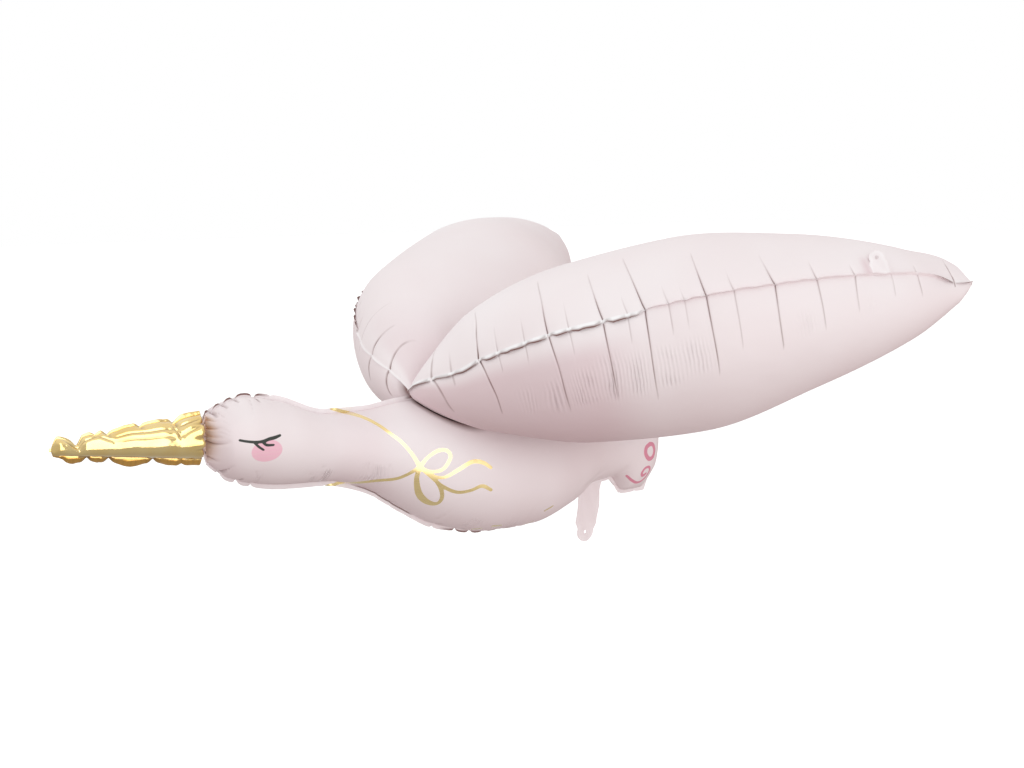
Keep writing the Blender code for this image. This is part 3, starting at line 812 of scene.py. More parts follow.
    # painted shade on the leading weld's rolled rim, and in the dimples beside its creases
    dark = bySide("weldRimShade", "rightWeldRimShade")
    rim = np.where(left, smoothStep((weldRow - 0.68) / 0.14), weldRow > 0)
    tone += np.where(high, dark * rim * np.clip(1.2 - 1.2 * drawn, 0, 1), 0)
    tone += np.where(high & left, dimple * smoothStep(1 - np.abs(weldRow - 0.4) / 0.3), 0)
    start, end, fade = facts["droopSpan"]
    droop = smoothStep(np.abs(along) / start) * smoothStep((end - np.abs(along)) / fade)
    droop = droop * np.clip(np.sin(angle), 0, 1) ** 2
    points -= np.where(left, facts["rootDroop"] * droop, 0)[..., None] * up
    # painted shade in the hollow at the far wing's root
    middle, halfWidth = facts["rootHollow"]
    hollow = np.exp(-((along - middle) / halfWidth) ** 2) * smoothStep(np.sin(angle))
    tone = np.maximum(tone, hollow * (sheet < 0) * (weldRow == 0))
    edge = smoothStep((length + facts["tipWeld"] - np.abs(along)) / 0.002) * weld["half"]
    points += up * (edge * sheet)[..., None]
    start, growth, fade = facts["bluntSpan"]
    blunt = smoothStep((place - start) / growth) * smoothStep((1 - place) / fade) * (sheet > 0)
    points += up * (facts["tipRise"] * blunt * np.clip(np.cos(angle), 0, 1) ** 0.7)[..., None]
    points += facts["neck"]

    # ripples run beside the leading creases' far ends, on the lower sheet
    ripple = np.where(sheet < 0, rippleMarks(share, fromLeading, facts["ripples"]), 0)
    # the weld mark is a painted highlight as well as gloss
    shine = readTable(facts["weldShine"], place) * np.where(left, 1, facts["rightShine"]) * (angle > 0)
    shine = shine + facts["trailingShine"] * (angle < 0)
    end, fade = facts["innerSpan"]
    inner = smoothStep((end - place) / fade) * smoothStep((fromLeading - 0.1) / 0.3)
    inner = facts["innerShade"] * inner * smoothStep((angle + 0.9) / 0.8)
    start, fade = facts["rootSpan"]
    near = (1 - smoothStep((place - start) / fade)) * smoothStep((fromLeading - 0.2) / 0.4)
    middle, halfWidth, strength = facts["tabShade"]
    spot = np.exp(-((share - middle) / halfWidth) ** 2) * smoothStep((math.radians(24) - fromLeading) / 0.2)
    upper = np.where(left, strength * spot, facts["rootShade"] * near)
    shade = np.where(sheet < 0, np.where(left, inner, facts["farShade"]), upper)
    marks = {"crease": np.clip(tone, 0, 1), "weld": (weldRow > 0) * shine, "ripple": ripple,
             "shade": shade * (weldRow == 0)}
    return points, along, marks


points, along, marks = wingSurface()
wingPiece = foilMesh("wingFoil", points, along, marks)
wingPiece.data.materials.append(pinkFoil("pinkWingFoil", False))
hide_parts("wings")
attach(wingPiece, "root")

wingShape = bmesh.new()
wingShape.from_mesh(wingPiece.data)
wingTree = BVHTree.FromBMesh(wingShape)
wingShape.free()
print("wings done")


# prints on the body, and the painted shade along the throat's fold

prints = {
    # strokes in the side view: x, z and half width in millimetres
    "ribbon": (
        ((-424, 222, 2.3), (-413, 218, 2.3), (-392, 211, 2.2), (-376, 201, 2.2), (-362, 188, 2.2),
         (-351, 177, 2.2), (-340, 161, 2.2), (-331, 144, 2.6)),
        ((-428, 116, 2.0), (-419, 121, 2.2), (-401, 123, 2.2), (-379, 126, 2.2), (-358, 128, 2.2),
         (-345, 134, 2.2), (-331, 144, 2.6)),
        ((-331, 144, 3.0), (-321, 156, 2.2), (-306, 164, 2.3), (-294, 163, 2.4), (-291, 154, 2.4),
         (-302, 139, 2.3), (-318, 137, 2.2), (-331, 144, 2.6)),
        ((-331, 144, 2.6), (-333, 128, 3.0), (-326, 108, 3.6), (-313, 94, 3.4), (-300, 89, 2.6),
         (-296, 97, 2.4), (-301, 112, 2.3), (-314, 130, 2.3), (-331, 144, 2.6)),
        ((-331, 144, 2.6), (-314, 131, 2.2), (-299, 128, 2.2), (-283, 136, 2.6), (-262, 146, 2.8),
         (-246, 144, 2.8), (-234, 136, 2.2)),
        ((-331, 144, 2.6), (-317, 131, 2.2), (-300, 116, 2.2), (-280, 106, 2.3), (-261, 107, 2.3),
         (-246, 112, 2.6), (-232, 105, 2.2)),
        ((-443, 116, 2.2), (-432, 119, 2.6), (-423, 120, 2.4)),
        ((-224, 40, 1.4), (-214, 41, 1.6)),
        ((-203, 45, 1.6), (-189, 44, 1.6)),
        ((-139, 34, 1.4), (-131, 42, 1.6)),
        ((-129, 60, 1.4), (-117, 67, 1.4)),
    ),
    "ink": (
        ((-580, 202, 1.5), (-572, 200, 1.6), (-560, 198, 1.8), (-550, 198, 2.0), (-541, 200, 2.2),
         (-533, 201, 2.2), (-525, 203, 1.6)),
        ((-562, 198, 1.5), (-556, 192, 1.6), (-549, 187, 1.4)),
        ((-551, 198, 1.7), (-545, 193, 1.8), (-535, 192, 1.4)),
    ),
    "rose": (
        ((86, 128, 3.0), (78, 123, 3.1), (77, 114, 3.2), (84, 106, 3.2), (92, 108, 3.0), (95, 117, 2.9),
         (92, 126, 2.9), (86, 128, 3.0)),
        ((54, 82, 1.2), (62, 75, 1.7), (71, 70, 1.9), (80, 70, 1.9), (87, 76, 1.9), (91, 86, 1.9),
         (87, 93, 2.0), (79, 92, 2.0), (75, 85, 2.2), (79, 80, 2.2), (84, 83, 1.9)),
    ),
    # half width of the painted shade along the fold of the throat's weld, at places along x, in metres
    "throatFoldShade": ((-0.410, -0.0020), (-0.385, 0.0002), (-0.343, 0.0011), (-0.310, 0.0012), (-0.295, -0.0020)),
    "blush": (-544, 185.5, 21, 14),
}


def throughPoints(points, steps=6):
    # a smooth path through a stroke's points
    points = np.array(points, float)
    padded = np.vstack([2 * points[0] - points[1], points, 2 * points[-1] - points[-2]])
    path = []
    for index in range(len(points) - 1):
        first, second, third, fourth = padded[index:index + 4]
        for part in np.linspace(0, 1, steps, endpoint=False):
            path.append(0.5 * (2 * second + (third - first) * part
                               + (2 * first - 5 * second + 4 * third - fourth) * part ** 2
                               + (3 * second - first - 3 * third + fourth) * part ** 3))
    path.append(points[-1])
    return np.array(path)


def strokeDistance(x, z, strokes):
    # metres from each point to the edge of the nearest stroke, below 0 inside it
    nearest = np.full(x.shape, 0.05)
    for stroke in strokes:
        path = throughPoints(stroke) / 1000
        low, high = path[:, :2].min(axis=0) - 0.01, path[:, :2].max(axis=0) + 0.01
        near = (x > low[0]) & (x < high[0]) & (z > low[1]) & (z < high[1])
        px, pz = x[near], z[near]
        best = np.full(px.shape, 0.05)
        for start, end in zip(path[:-1], path[1:]):
            part, gap = besideLine(px, pz, *start[:2], *end[:2])
            best = np.minimum(best, gap - start[2] - (end[2] - start[2]) * part)
        nearest[near] = np.minimum(nearest[near], best)
    return nearest


# body

folds = {
    # lines in the side view: start x, z, end x, z in millimetres, depth and half width in millimetres,
    # painted shade
    "lines": (
        (-608, 226, -598, 224, 2.5, 3.2, 0.7),
        (-608, 214, -598, 216, 3.2, 3.4, 0.9),
        (-608, 204, -597, 205, 2.0, 3.0, 0.2),
        (-608, 193, -592, 199, 4.2, 4.0, 0.9),
        (-608, 178, -598, 173, 3.0, 3.6, 0.9),
        (-597, 217, -587, 209, 0.8, 2.0, 0.0),
        (-598, 211, -588, 206, 0.8, 2.0, 0.0),
        (-593, 225, -586, 219, 0.7, 2.0, 0.1),
        (-604, 160, -590, 157, 2.2, 3.0, 0.6),
        (-590, 157, -584, 168, 1.8, 2.6, 0.8),
        (-554, 158, -541, 137, 1.0, 2.4, 0.1),
        (-597, 240, -589, 227, 1.8, 3.0, 0.5),
        (-550, 246, -556, 232, 1.2, 2.6, 0.2),
        (-461, 157, -453, 135, 0.9, 2.2, 0.15),
        (-477, 149, -473, 135, 0.6, 2.2, 0.1),
        (-395, 153, -394, 131, 0.6, 2.4, 0.1),
        (-367, 148, -369, 133, 0.6, 2.4, 0.1),
        (-283, 62, -276, 82, 1.2, 2.6, 0.1),
        (-40, 79, -3, 88, 3.2, 5.0, 0.35),
        (-50, 84, -2, 101, 2.6, 8.0, 0.1),
        (30, 74, 48, 94, 2.6, 8.0, 0.15),
    ),
    # how far the head's front reaches over the beak's root, and over what length, in metres
    "lead": 0.004,
    "leadReach": 0.05,
    # how far its pleats hang back, over what length, and how deep a full one is
    "recess": 0.0035,
    "recessReach": 0.012,
    "fullDepth": 0.003,
    # how strong the painted reflection of the gold beak is at each height
    "reflectionByHeight": ((0.172, 0.0), (0.180, 0.7), (0.190, 0.7), (0.195, 0.15), (0.200, 0.2), (0.206, 1.0),
             (0.226, 1.0), (0.232, 0.0)),
    "reflectionReach": 0.010,
}


def foldDents(x, z):
    # depth and painted shade of the folded lines
    dent, tone = np.zeros(x.shape), np.zeros(x.shape)
    for row in folds["lines"]:
        *line, depth, halfWidth = [value / 1000 for value in row[:6]]
        part, gap = besideLine(x, z, *line)
        gap = gap / halfWidth
        dent = np.maximum(dent, depth * (1 - 0.7 * part) * np.clip(1 - gap, 0, 1) ** 1.2)
        tone = np.maximum(tone, row[6] * (1 - part) ** 0.8 * np.clip(1 - gap / 0.32, 0, 1))
    return dent, tone


def bodySurface():
    facts = body
    length, endWidth = facts["length"], weld["endWidth"]
    rows = facts["crownCreases"] + facts["bellyCreases"]
    creases = [endWidth + row[0] * (length - endWidth) for row in rows]
    ends = roundedPlaces(endWidth, facts["headRounding"]) + roundedPlaces(length, -facts["tailRounding"])
    along = columnPlaces(facts, length + weld["width"], creases, ends)[:, None]
    angle, weldRow, sheet = ringRows(*facts["rings"])
    share = np.clip((along - endWidth) / (length - endWidth), 0, 1)
    rounding = endRounding(share * length, facts["headRounding"])
    rounding = rounding * endRounding((1 - share) * length, facts["tailRounding"])
    depth = widthCurve(share) * facts["width"] / 2 * rounding
    low, high = bottomCurve(share) * facts["height"], topCurve(share) * facts["height"]
    middle, half = (low + high) / 2, (high - low) / 2
    across = -depth * np.cos(angle) * sheet
    upward = half * np.sin(angle)
    size = np.maximum(np.hypot(across, upward), 1e-9)

    fromTop, fromBottom = math.pi / 2 - angle, math.pi / 2 + angle
    metres = (along - endWidth) * np.ones_like(angle)
    dent, tone, (topPinch, bottomPinch) = creasedWelds(
        facts, ("crownCreases", "bellyCreases"), length - endWidth, metres, angle)
    fade = facts["pinchSpread"]
    pulled = topPinch * np.exp(-fromTop / fade) + bottomPinch * np.exp(-fromBottom / fade)
    dent += facts["pinchDepth"] * pulled
    lead = folds["lead"] * (1 - smoothStep(along / folds["leadReach"]))
    x = facts["seatX"] + (along - lead) * np.ones_like(angle)
    deep, dark = foldDents(x, facts["seatZ"] + middle + upward)
    dent += deep * (weldRow == 0)
    # painted shade in the folded lines
    tone = np.maximum(tone, dark * (weldRow == 0))
    front = 1 - smoothStep(along / folds["recessReach"])
    x += folds["recess"] * np.clip(deep / folds["fullDepth"], 0, 1) * front
    # painted reflection of the gold beak in the pleats at the head's front
    reflectedGold = np.clip(0.35 + deep / folds["fullDepth"], 0, 1) * (weldRow == 0)
    reflectedGold = reflectedGold * (1 - smoothStep(along / folds["reflectionReach"]))
    reflectedGold = reflectedGold * readTable(folds["reflectionByHeight"], facts["seatZ"] + middle + upward)
    # painted shade in the pleats just behind the beak
    tone = np.maximum(tone, np.clip(deep / 0.0022, 0, 1) * (1 - smoothStep(along / 0.004)) * (weldRow == 0))
    dent *= smoothStep(along / 0.002) * smoothStep((length - along) / 0.004)
    dent = np.minimum(dent, 0.6 * size)
    y = across * (1 - dent / size)
    z = facts["seatZ"] + middle + upward * (1 - dent / size) * tuck(along, *facts["rootTuck"])

    # welds along the crown and the belly, wavy, each leaning a little to one side
    swing, wave = facts["weldWave"]
    tips = smoothStep(along / 0.01) * smoothStep((length + weld["width"] - along) / 0.012)
    place, halfWidth, fade = facts["plainWeld"]
    tips = tips * smoothStep((np.abs(x[:, :1] - place) - halfWidth) / fade)
    lean = swing * unevenWave(along, wave) * tips
    least, more = facts["weldDrawn"]
    for high, lean, pinch, table in ((True, lean, topPinch, facts["crownWeld"]),
                                     (False, -lean, bottomPinch, facts["bellyWeld"])):
        places, widths, darks = zip(*table)
        darks = np.interp(share, places, darks)
        width = weld["width"] * np.interp(share, places, widths)
        width = width * (1 - (least + more * darks) * pinch ** 2)
        # painted shade on the welds' folded scallops
        scallop = darks * np.clip(1.2 - 1.6 * pinch, 0, 1) * smoothStep((weldRow - 0.3) / 0.2)
        tone = np.where(placeWeld(y, z, high, angle, weldRow, width, lean), scallop, tone)
    start, growth = facts["cutSpan"]
    x -= readTable(facts["tailCut"], z) * smoothStep((share - start) / growth)
    flat = smoothStep(along / 0.001) * smoothStep((length + weld["width"] - along) / 0.001)
    y -= weld["half"] * sheet * flat
    points = np.stack([x, y, z], axis=-1)

    # the back gives way under the wings, and gets painted shade where it lies close under them
    start, end = facts["underWings"]
    for column, tones in zip(points, tone):
        if not start < column[0, 0] < end:
            continue
        for index, point in enumerate(column):
            hit = wingTree.ray_cast(Vector((point[0], point[1], -1.0)), Vector((0, 0, 1)))[0]
            if hit is not None:
                point[2] = min(point[2], hit.z - facts["contactGap"])
                tones[index] = max(tones[index], 1 - (hit.z - point[2]) / facts["contactReach"])

    x, z = points[..., 0], points[..., 2]
    blush = prints["blush"]
    reach = np.hypot((x * 1000 - blush[0]) / blush[2], (z * 1000 - blush[1]) / blush[3])
    strength, fade = facts["headShade"]
    shade = strength * (1 - smoothStep(along / fade))
    strength, place, halfWidth = facts["throatShade"]
    shade = shade + strength * np.exp(-((x - place) / halfWidth) ** 2)
    marks = {
        "crease": np.clip(tone, 0, 1),
        "reflectedGold": reflectedGold,
        "shade": shade * (weldRow == 0),
        # the weld mark: a painted highlight as well as gloss
        "weld": ((weldRow > 0) | (along > length)) * facts["weldShine"] * np.ones_like(x),
        "ripple": rippleMarks(share, fromBottom, facts["ripples"]),
        **{mark: strokeDistance(x, z, prints[mark]) for mark in ("ribbon", "ink", "rose")},
        # painted shade along the throat's fold
        "throatFoldShade": np.where(weldRow > 0.3, 0.01, fromBottom * depth) - readTable(prints["throatFoldShade"], x),
        "blush": (reach - 1) * blush[3] / 1000,
    }
    return points, along, marks


points, along, marks = bodySurface()
bodyPiece = foilMesh("bodyFoil", points, along, marks)
bodyPiece.data.materials.append(pinkFoil("pinkBodyFoil", True))
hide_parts("body")
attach(bodyPiece, "root")
print("body done")


# beak

beak = {
    "length": 0.2015,
    "rootHeight": 0.057,
    "rootWidth": 0.052,
    "upperWeld": 0.007,
    "lowerWeld": 0.0120,
    "lift": 0.0030,
    # how much higher the lower edge is at the tip, and how high the tip's middle is above it
    "tipRise": 0.0250,
    "tipMiddle": 0.0065,
    "rootRounding": 0.008,
    "tipRounding": 0.010,
    "gap": 0.0003,
    # share of the length, share of the root's size, shares of the upper and the lower weld's width
    "profile": ((0.000, 0.05, 0.1, 0.10), (0.010, 0.22, 0.2, 0.20), (0.043, 0.36, 0.4, 0.30),
                (0.085, 0.34, 0.4, 1.0), (0.130, 0.27, 0.4, 1.05), (0.160, 0.25, 0.4, 1.05),
                (0.200, 0.41, 0.4, 1.05), (0.270, 0.48, 0.4, 1.0), (0.375, 0.52, 0.4, 1.0),
                (0.486, 0.65, 0.4, 1.1), (0.595, 0.71, 0.4, 1.0), (0.724, 0.80, 0.4, 1.1),
                (0.800, 0.80, 0.5, 1.0), (0.876, 0.90, 0.7, 1.0), (1.000, 1.00, 0.6, 0.9)),
    "topCreases": ((0.155, 44, 0.9), (0.275, 26, 0.7), (0.355, 48, 0.9), (0.57, 34, 0.9), (0.80, 48, 1.0)),
    "lowerCreases": ((0.075, 10, 0.6), (0.225, 14, 1.0), (0.365, 14, 1.0), (0.66, 14, 1.0), (0.86, 12, 0.5)),
    "creaseDepth": 0.0022,
    "creaseHalfWidth": 0.0045,
    "pinchDepth": 0.0018,
    "pinchReach": 0.012,
    "waistReach": 0.030,
    # shares of their width that the lower and the upper weld lose there
    "weldDrawn": (0.6, 0.3),
    # how strong the pinches of the upper and the lower weld are, and how far round they reach, in radians
    "pinchSpreads": ((1.0, 0.35), (0.2, 0.25)),
    # how far the lower and the upper weld lean, in degrees: mean, swing and the wave's length in metres
    "weldLean": ((-52, -24, 0.058), (-30, -20, 0.031)),
    # points and crowding from weld to weld, and the rows across a weld; columns beside a crease, in metres
    "rings": (64, 0.1, (0.88, 0.66, 0.44, 0.22)),
    "creaseColumns": (0.0, 0.0009, 0.0020, 0.0040),
    "spacing": 0.0020,
    "fineColumns": (),
    "closest": 0.0004,
    # pleats round the root: angle in degrees from the middle of a side, depth in millimetres
    "rootPleats": ((-74, 3.6), (-30, 4.2), (6, 4.4), (47, 4.2)),
    "pleatReach": 0.024,
    "pleatHalfWidth": 0.0055,
    # how far the root is moved towards the tip, and how much more at a pleat, in metres
    "rootShift": 0.004,
    "pleatShift": 0.003,
    # how much the root is drawn in at its weld, and over how many metres
    "rootTuck": (0.3, 0.0035),
    # gathers of the lower weld, as painted shade: how sharply they grow at a waist, and the shade and length
    # of those between
    "gathers": (2.5, 0.3, 0.006),
    # painted shade in the long folds, and on the lower part of the beak that hangs over the lower weld
    "foldShade": 0.75,
    "lowerBandShade": 0.30,
    # folds along the beak: share and angle where each starts and ends, depth and half width in millimetres
    "longFolds": (
        (0.37, 44, 0.80, 40, 1.1, 2.6),
        (0.38, 20, 0.80, 17, 1.0, 2.6),
        (0.08, 60, 0.17, 22, 1.6, 2.8),
        (0.17, 40, 0.28, 56, 0.9, 2.4),
        (0.81, 52, 0.97, 62, 1.6, 3.0),
        (0.80, 18, 0.95, 38, 1.4, 3.0),
        (0.28, 58, 0.38, 22, 1.0, 2.6),
        (0.76, 58, 0.82, 12, 1.3, 2.8),
    ),
}


def beakSurface():
    facts = beak
    endWidth = weld["endWidth"]
    longPart = facts["length"] - 2 * endWidth
    rows = facts["topCreases"] + facts["lowerCreases"]
    ends = roundedPlaces(endWidth, facts["tipRounding"])
    ends += roundedPlaces(endWidth + longPart, -facts["rootRounding"])
    creases = [endWidth + row[0] * longPart for row in rows]
    along = columnPlaces(facts, facts["length"], creases, ends)[:, None]
    angle, weldRow, sheet = ringRows(*facts["rings"])
    share = np.clip((along - endWidth) / longPart, 0, 1)
    size, upperShare, lowerShare = [curve(share) for curve in profileCurves(facts["profile"])]
    rounding = endRounding((1 - share) * facts["length"], facts["rootRounding"])
    rounding = rounding * endRounding(share * facts["length"], facts["tipRounding"])
    half = facts["rootHeight"] / 2 * size * np.ones_like(angle)
    depth = facts["rootWidth"] / 2 * size * rounding
    across, upward = -depth * np.cos(angle) * sheet, half * np.sin(angle)
    radius = np.maximum(np.hypot(across, upward), 1e-9)

    fromTop, fromBottom = math.pi / 2 - angle, math.pi / 2 + angle
    metres = (along - endWidth) * np.ones_like(angle)
    dent, tone, (topPinch, lowerPinch) = creasedWelds(
        facts, ("topCreases", "lowerCreases"), longPart, metres, angle)
    lowerWaist = pinches(metres, inMetres(facts["lowerCreases"], longPart), facts["waistReach"])
    for pinch, fromWeld, (strength, fade) in zip((topPinch, lowerPinch), (fromTop, fromBottom),
                                                 facts["pinchSpreads"]):
        dent += facts["pinchDepth"] * strength * pinch * np.exp(-fromWeld / fade)
    fromRoot = np.clip((longPart + endWidth - along) / facts["pleatReach"], 0, 1)
    pleat = np.zeros_like(angle * along)
    for middle, deep in facts["rootPleats"]:
        gap = np.abs(angle - math.radians(middle)) * radius / facts["pleatHalfWidth"]
        pleat = np.maximum(pleat, np.clip(1 - gap, 0, 1))
        dent += deep / 1000 * (1 - fromRoot) ** 1.2 * np.clip(1 - gap, 0, 1)
        # painted shade in the pleats round the root
        tone = np.maximum(tone, (1 - fromRoot) ** 1.2 * np.clip(1 - gap / 0.45, 0, 1))
    for startShare, startAngle, endShare, endAngle, deep, wide in facts["longFolds"]:
        start = (startShare * longPart, math.radians(startAngle) * radius)
        end = (endShare * longPart, math.radians(endAngle) * radius)
        part, gap = besideLine(metres, angle * radius, *start, *end)
        gap = gap * 1000 / wide
        ends = np.clip(4 * np.minimum(part, 1 - part) + 0.3, 0, 1)
        dent += deep / 1000 * ends * (np.clip(1 - gap, 0, 1) - 0.35 * np.exp(-((gap - 1.5) / 0.6) ** 2))
        # painted shade in the long folds, and on the lower part of the beak
        tone = np.maximum(tone, facts["foldShade"] * ends * np.clip(1 - gap / 0.5, 0, 1))
    tone = np.maximum(tone, facts["lowerBandShade"] * smoothStep((-angle - 0.35) / 0.5))
    dent *= smoothStep(along / 0.004) * smoothStep((facts["length"] - along) / 0.003)
    dent = np.minimum(dent, 0.5 * radius)
    y = across * (1 - dent / radius)
    z = upward * (1 - dent / radius)

    lowerLoss, upperLoss = facts["weldDrawn"]
    widths = (facts["lowerWeld"] * lowerShare * (1 - lowerLoss * lowerWaist),
              facts["upperWeld"] * upperShare * (1 - upperLoss * topPinch))
    for high in (True, False):
        lean, swing, wave = facts["weldLean"][high]
        lean = lean + swing * unevenWave(along + 0.004, wave)
        placeWeld(y, z, high, angle, weldRow, widths[high], lean)
    flat = smoothStep(along / 0.001) * smoothStep((facts["length"] - along) / 0.001)
    y -= weld["half"] * sheet * flat
    root = (float(bottomCurve(0.0)) + float(topCurve(0.0))) / 2 * body["height"]
    x = body["seatX"] - facts["gap"] - facts["length"] + along * np.ones_like(angle)
    x -= facts["rootShift"] * share ** 4 + pleat * (1 - fromRoot) ** 2 * facts["pleatShift"]
    z *= tuck(facts["length"] - along, *facts["rootTuck"])
    z += body["seatZ"] + root + facts["lift"] - facts["rootHeight"] / 2 + facts["tipRise"] * (1 - share)
    z += np.maximum(facts["rootHeight"] / 2 * size, facts["tipMiddle"])
    # painted shade on the lower weld's gathers
    power, strength, wave = facts["gathers"]
    gathers = lowerWaist ** power + strength * np.clip(unevenWave(along, wave), 0, 1)
    tone = np.where((weldRow > 0) & (angle < 0), gathers, tone * (weldRow == 0))
    # the crease mark is painted shade, and the weld mark paints the lower weld in shade
    marks = {"crease": np.clip(tone, 0, 1),
             "weld": (weldRow > 0) * (0.1 + 0.9 * (angle < 0)) * np.ones_like(x)}
    return np.stack([x, y, z], axis=-1), along, marks


points, along, marks = beakSurface()
beakPiece = foilMesh("beakFoil", points, along, marks)
beakPiece.data.materials.append(goldFoil("goldBeakFoil"))
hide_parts("beak")
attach(beakPiece, "root")
print("beak done")


# valve tabs

tetherTab = {"width": 0.039, "length": 0.0753, "endRadius": 0.0145, "flare": 0.002, "lean": 0.010}
wingTab = {"width": 0.024, "length": 0.024, "endRadius": 0.010, "flare": 0.001, "station": 0.832}
tabs = {"hole": 0.0025, "half": 0.00035, "waist": 14.5, "shoulder": 0.9, "points": 96, "rings": 14,
        "weldBand": (0.0016, 0.0042), "weldPaintedLight": 0.2}


def tabOutline(facts):
    # the tongue's edge as (across, up), from the hole's level on one side, round the root to the other
    radius, length, width, flare = facts["endRadius"], facts["length"], facts["width"], facts["flare"]
    turns = np.radians(np.linspace(180 - tabs["waist"], 360 + tabs["waist"], 25))
    corners = [(radius * math.cos(turn), radius * math.sin(turn)) for turn in turns]
    shoulder = radius * tabs["shoulder"]
    flank = [(width / 2, shoulder), (width / 2, length - 6 * flare), (width / 2 + flare, length)]
    return np.array([(-x, z) for x, z in reversed(flank)] + corners + flank)


def tabPiece(name, facts, matrix, material):
    # rings grow from the hole out to the tongue's edge, then the sheet is ruffled and given its thickness
    edge = tabOutline(facts)
    closed = np.vstack([edge, edge[:1]])
    reach = np.concatenate([[0], np.cumsum(np.linalg.norm(np.diff(closed, axis=0), axis=1))])
    count = tabs["points"]
    middle = (reach[-1] + reach[-2]) / 2
    steps = (middle + reach[-1] * (np.arange(count) / count - 0.25)) % reach[-1]
    outline = np.stack([np.interp(steps, reach, closed[:, axis]) for axis in (0, 1)], axis=1)
    shape = bmesh.new()
    turns = shape.verts.layers.int.new("turn")
    weldLayer = shape.verts.layers.float.new("weld")
    for mark in ("crease", "ripple"):
        shape.verts.layers.float.new(mark)
    ring = bmesh.ops.create_circle(shape, cap_ends=False, segments=count, radius=tabs["hole"])["verts"]
    for vert in ring:
        vert[turns] = round(math.atan2(vert.co.y, vert.co.x) / (2 * math.pi) * count) % count
    rim = {vert[turns]: vert.co.copy() for vert in ring}
    edges = shape.edges[:]
    for step in range(tabs["rings"]):
        grown = bmesh.ops.extrude_edge_only(shape, edges=edges)["geom"]
        edges = [part for part in grown if isinstance(part, bmesh.types.BMEdge)]
        for vert in [part for part in grown if isinstance(part, bmesh.types.BMVert)]:
            out = Vector((*outline[vert[turns]], 0))
            vert.co = rim[vert[turns]].lerp(out, (step + 1) / tabs["rings"])
    for vert in shape.verts:
        x, z = vert.co.x, vert.co.y
        gap = np.hypot(outline[:, 0] - x, outline[:, 1] - z).min()
        # painted highlight and gloss along the tab's welded rim
        vert[weldLayer] = tabs["weldPaintedLight"] if tabs["weldBand"][0] < gap < tabs["weldBand"][1] else 0.0
        rise = float(smoothStep(z / 0.03))
        vert.co = (x, 0.0011 * math.sin(z * 95 + 1.1) * rise + 0.0006 * math.sin(x * 260 + z * 140), z)
    bmesh.ops.recalc_face_normals(shape, faces=shape.faces)
    back = bmesh.ops.extrude_face_region(shape, geom=shape.faces[:])["geom"]
    bmesh.ops.translate(shape, verts=[part for part in back if isinstance(part, bmesh.types.BMVert)],
                        vec=(0, 2 * tabs["half"], 0))
    bmesh.ops.recalc_face_normals(shape, faces=shape.faces)
    for edge in shape.edges:
        edge.smooth = edge.calc_face_angle() < math.radians(60)
    shape.transform(matrix)
    piece = makePiece(shape, name)
    piece.data.uv_layers.new(name="foilMap")
    piece.data.materials.append(material)
    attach(piece, "root")
    return piece


lean = math.atan2(tetherTab["lean"], tetherTab["length"])
tabFoil = pinkFoil("pinkTabFoil", False)
tabPiece("tetherTab", tetherTab, Matrix.Rotation(lean, 4, "Y"), tabFoil)

span, chord, up = [axis[0] for axis in wingAxes(np.array([-wingTab["station"]]))]
lead = float(profileCurves(wings["profile"])[0](wingTab["station"])) * wings["chord"]
hole = wings["neck"] + span * (wingTab["station"] * wings["length"])
hole = hole + chord * (lead + 0.004) + up * (wingTab["length"] - 0.0016)
axes = Matrix((Vector(-span), Vector(-chord), Vector(-up))).transposed().to_4x4()
tabPiece("wingTab", wingTab, Matrix.Translation(Vector(hole)) @ axes, tabFoil)
print("tabs done")


# stage, light and camera

stage = {
    "floorZ": -1.35,
    "floorHalf": 30,
    "floorColour": (0.92, 0.92, 0.92, 1),
    "floorGlow": 0.35,
    # strength of the sky all round, and what each side adds: towards -x, +x, -y, +y, down and up
    "skyBase": 0.45,
    "skySides": ((0.30, -0.24), (0.68, 0.57), (-0.48, 0.34)),
    # strength that glossy foil mirrors, from below and from the sides up
    "mirrored": (0.58, 0.72),
    "mirroredTop": 0.35,
    "brightColour": (1.0, 1.03, 1.02, 1),
    "dimColour": (1.0, 0.36, 0.33, 1),
}


def makeStage():
    shape = bmesh.new()
    bmesh.ops.create_grid(shape, x_segments=1, y_segments=1, size=stage["floorHalf"])
    bmesh.ops.translate(shape, verts=shape.verts, vec=(0, 0, stage["floorZ"]))
    floor = makePiece(shape, "floor")
    made, tree, shader = newMaterial("paleFloor")
    feed(tree, shader, {"Base Color": stage["floorColour"], "Roughness": 0.9,
                        "Emission Color": stage["floorColour"], "Emission Strength": stage["floorGlow"]})
    floor.data.materials.append(made)
    floor.visible_diffuse = False
    floor.visible_glossy = False


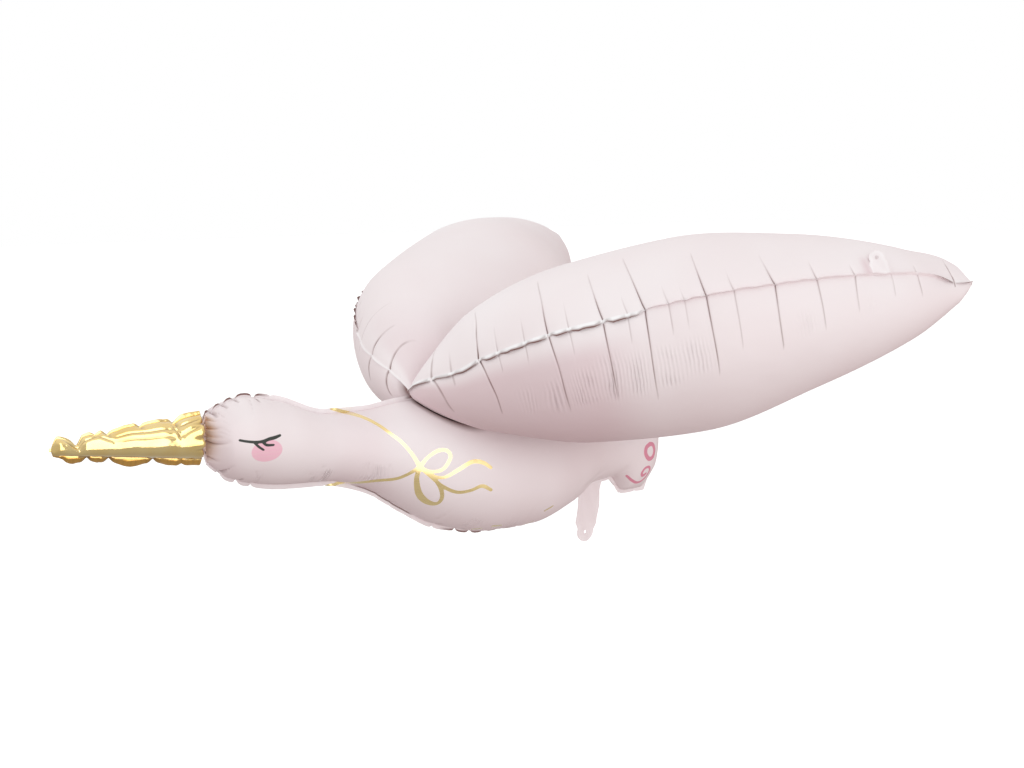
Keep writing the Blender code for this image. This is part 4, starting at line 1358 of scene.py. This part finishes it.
def makeSky():
    world = bpy.data.worlds.new("studio")
    bpy.context.scene.world = world
    world.use_nodes = True
    tree = world.node_tree
    back = tree.nodes["Background"]
    sides = addNode(tree, "SeparateXYZ", i0=addNode(tree, "TexCoord").outputs["Generated"]).outputs
    strength = maths(tree, "ADD", stage["skyBase"])
    for side, (before, after) in zip(sides, stage["skySides"]):
        for facing, amount in ((-1.0, before), (1.0, after)):
            toward = maths(tree, "MAXIMUM", maths(tree, "MULTIPLY", side, facing))
            strength = maths(tree, "ADD", strength, maths(tree, "MULTIPLY", toward, amount))
    strength = maths(tree, "MAXIMUM", strength, 0.02)
    bright = remap(tree, strength, 0.15, 0.85, 0, 1)
    mirrored = remap(tree, sides[2], -0.75, -0.1, *stage["mirrored"], "SMOOTHSTEP")
    above = remap(tree, sides[2], 0.25, 0.7, 0, stage["mirroredTop"], "SMOOTHSTEP")
    mirrored = maths(tree, "ADD", mirrored, above)
    rays = addNode(tree, "LightPath").outputs
    kind = {"data_type": "FLOAT"}
    shown = addNode(tree, "Mix", kind, i0=rays["Is Glossy Ray"], i2=strength, i3=mirrored).outputs[0]
    shown = addNode(tree, "Mix", kind, i0=rays["Is Camera Ray"], i2=shown, i3=1.0).outputs[0]
    tree.links.new(shown, back.inputs["Strength"])
    tint = blendColour(tree, bright, stage["dimColour"], stage["brightColour"])
    tint = blendColour(tree, rays["Is Glossy Ray"], tint, (1, 1, 1, 1))
    tree.links.new(blendColour(tree, rays["Is Camera Ray"], tint, (1, 1, 1, 1)), back.inputs["Color"])


lamps = {
    # place, point aimed at, size, watts, colour, whether it shows only in the foil's gloss
    "tallPanel": ((-0.45, -2.20, 0.80), (-0.45, 0, 0.8), (1.6, 3.9), 40, (1, 1, 1), True),
    "lowBox": ((0.55, -1.0, -0.5), (0.1, -0.3, 0.2), (0.6, 0.6), 2.5, (1, 0.93, 0.91), False),
}


def makeLamps():
    for name, (place, target, size, power, colour, glossy) in lamps.items():
        data = bpy.data.lights.new(name, "AREA")
        data.shape = "RECTANGLE"
        data.size, data.size_y = size
        data.energy = power
        data.color = colour
        lamp = bpy.data.objects.new(name, data)
        lamp.visible_diffuse = not glossy
        lamp.visible_glossy = glossy
        lamp.location = place
        lamp.rotation_euler = (Vector(target) - Vector(place)).to_track_quat("-Z", "Y").to_euler()
        bpy.context.scene.collection.objects.link(lamp)


view = {"azimuth": -36.0, "elevation": 8.0, "lens": 59.42, "place": (-1.5134, -1.9002, 0.5599)}


def makeCamera():
    turn, rise = math.radians(view["azimuth"]), math.radians(view["elevation"])
    back = Vector((math.sin(turn) * math.cos(rise), -math.cos(turn) * math.cos(rise), math.sin(rise)))
    right = Vector((math.cos(turn), math.sin(turn), 0))
    data = bpy.data.cameras.new("camera")
    data.sensor_width = 36
    data.lens = view["lens"]
    camera = bpy.data.objects.new("camera", data)
    camera.matrix_world = Matrix.Translation(view["place"]) @ Matrix(
        (right, back.cross(right), back)).transposed().to_4x4()
    bpy.context.scene.collection.objects.link(camera)
    bpy.context.scene.camera = camera


makeStage()
makeSky()
makeLamps()
makeCamera()
bpy.context.scene.view_settings.view_transform = "Standard"
print("stage, light and camera done")
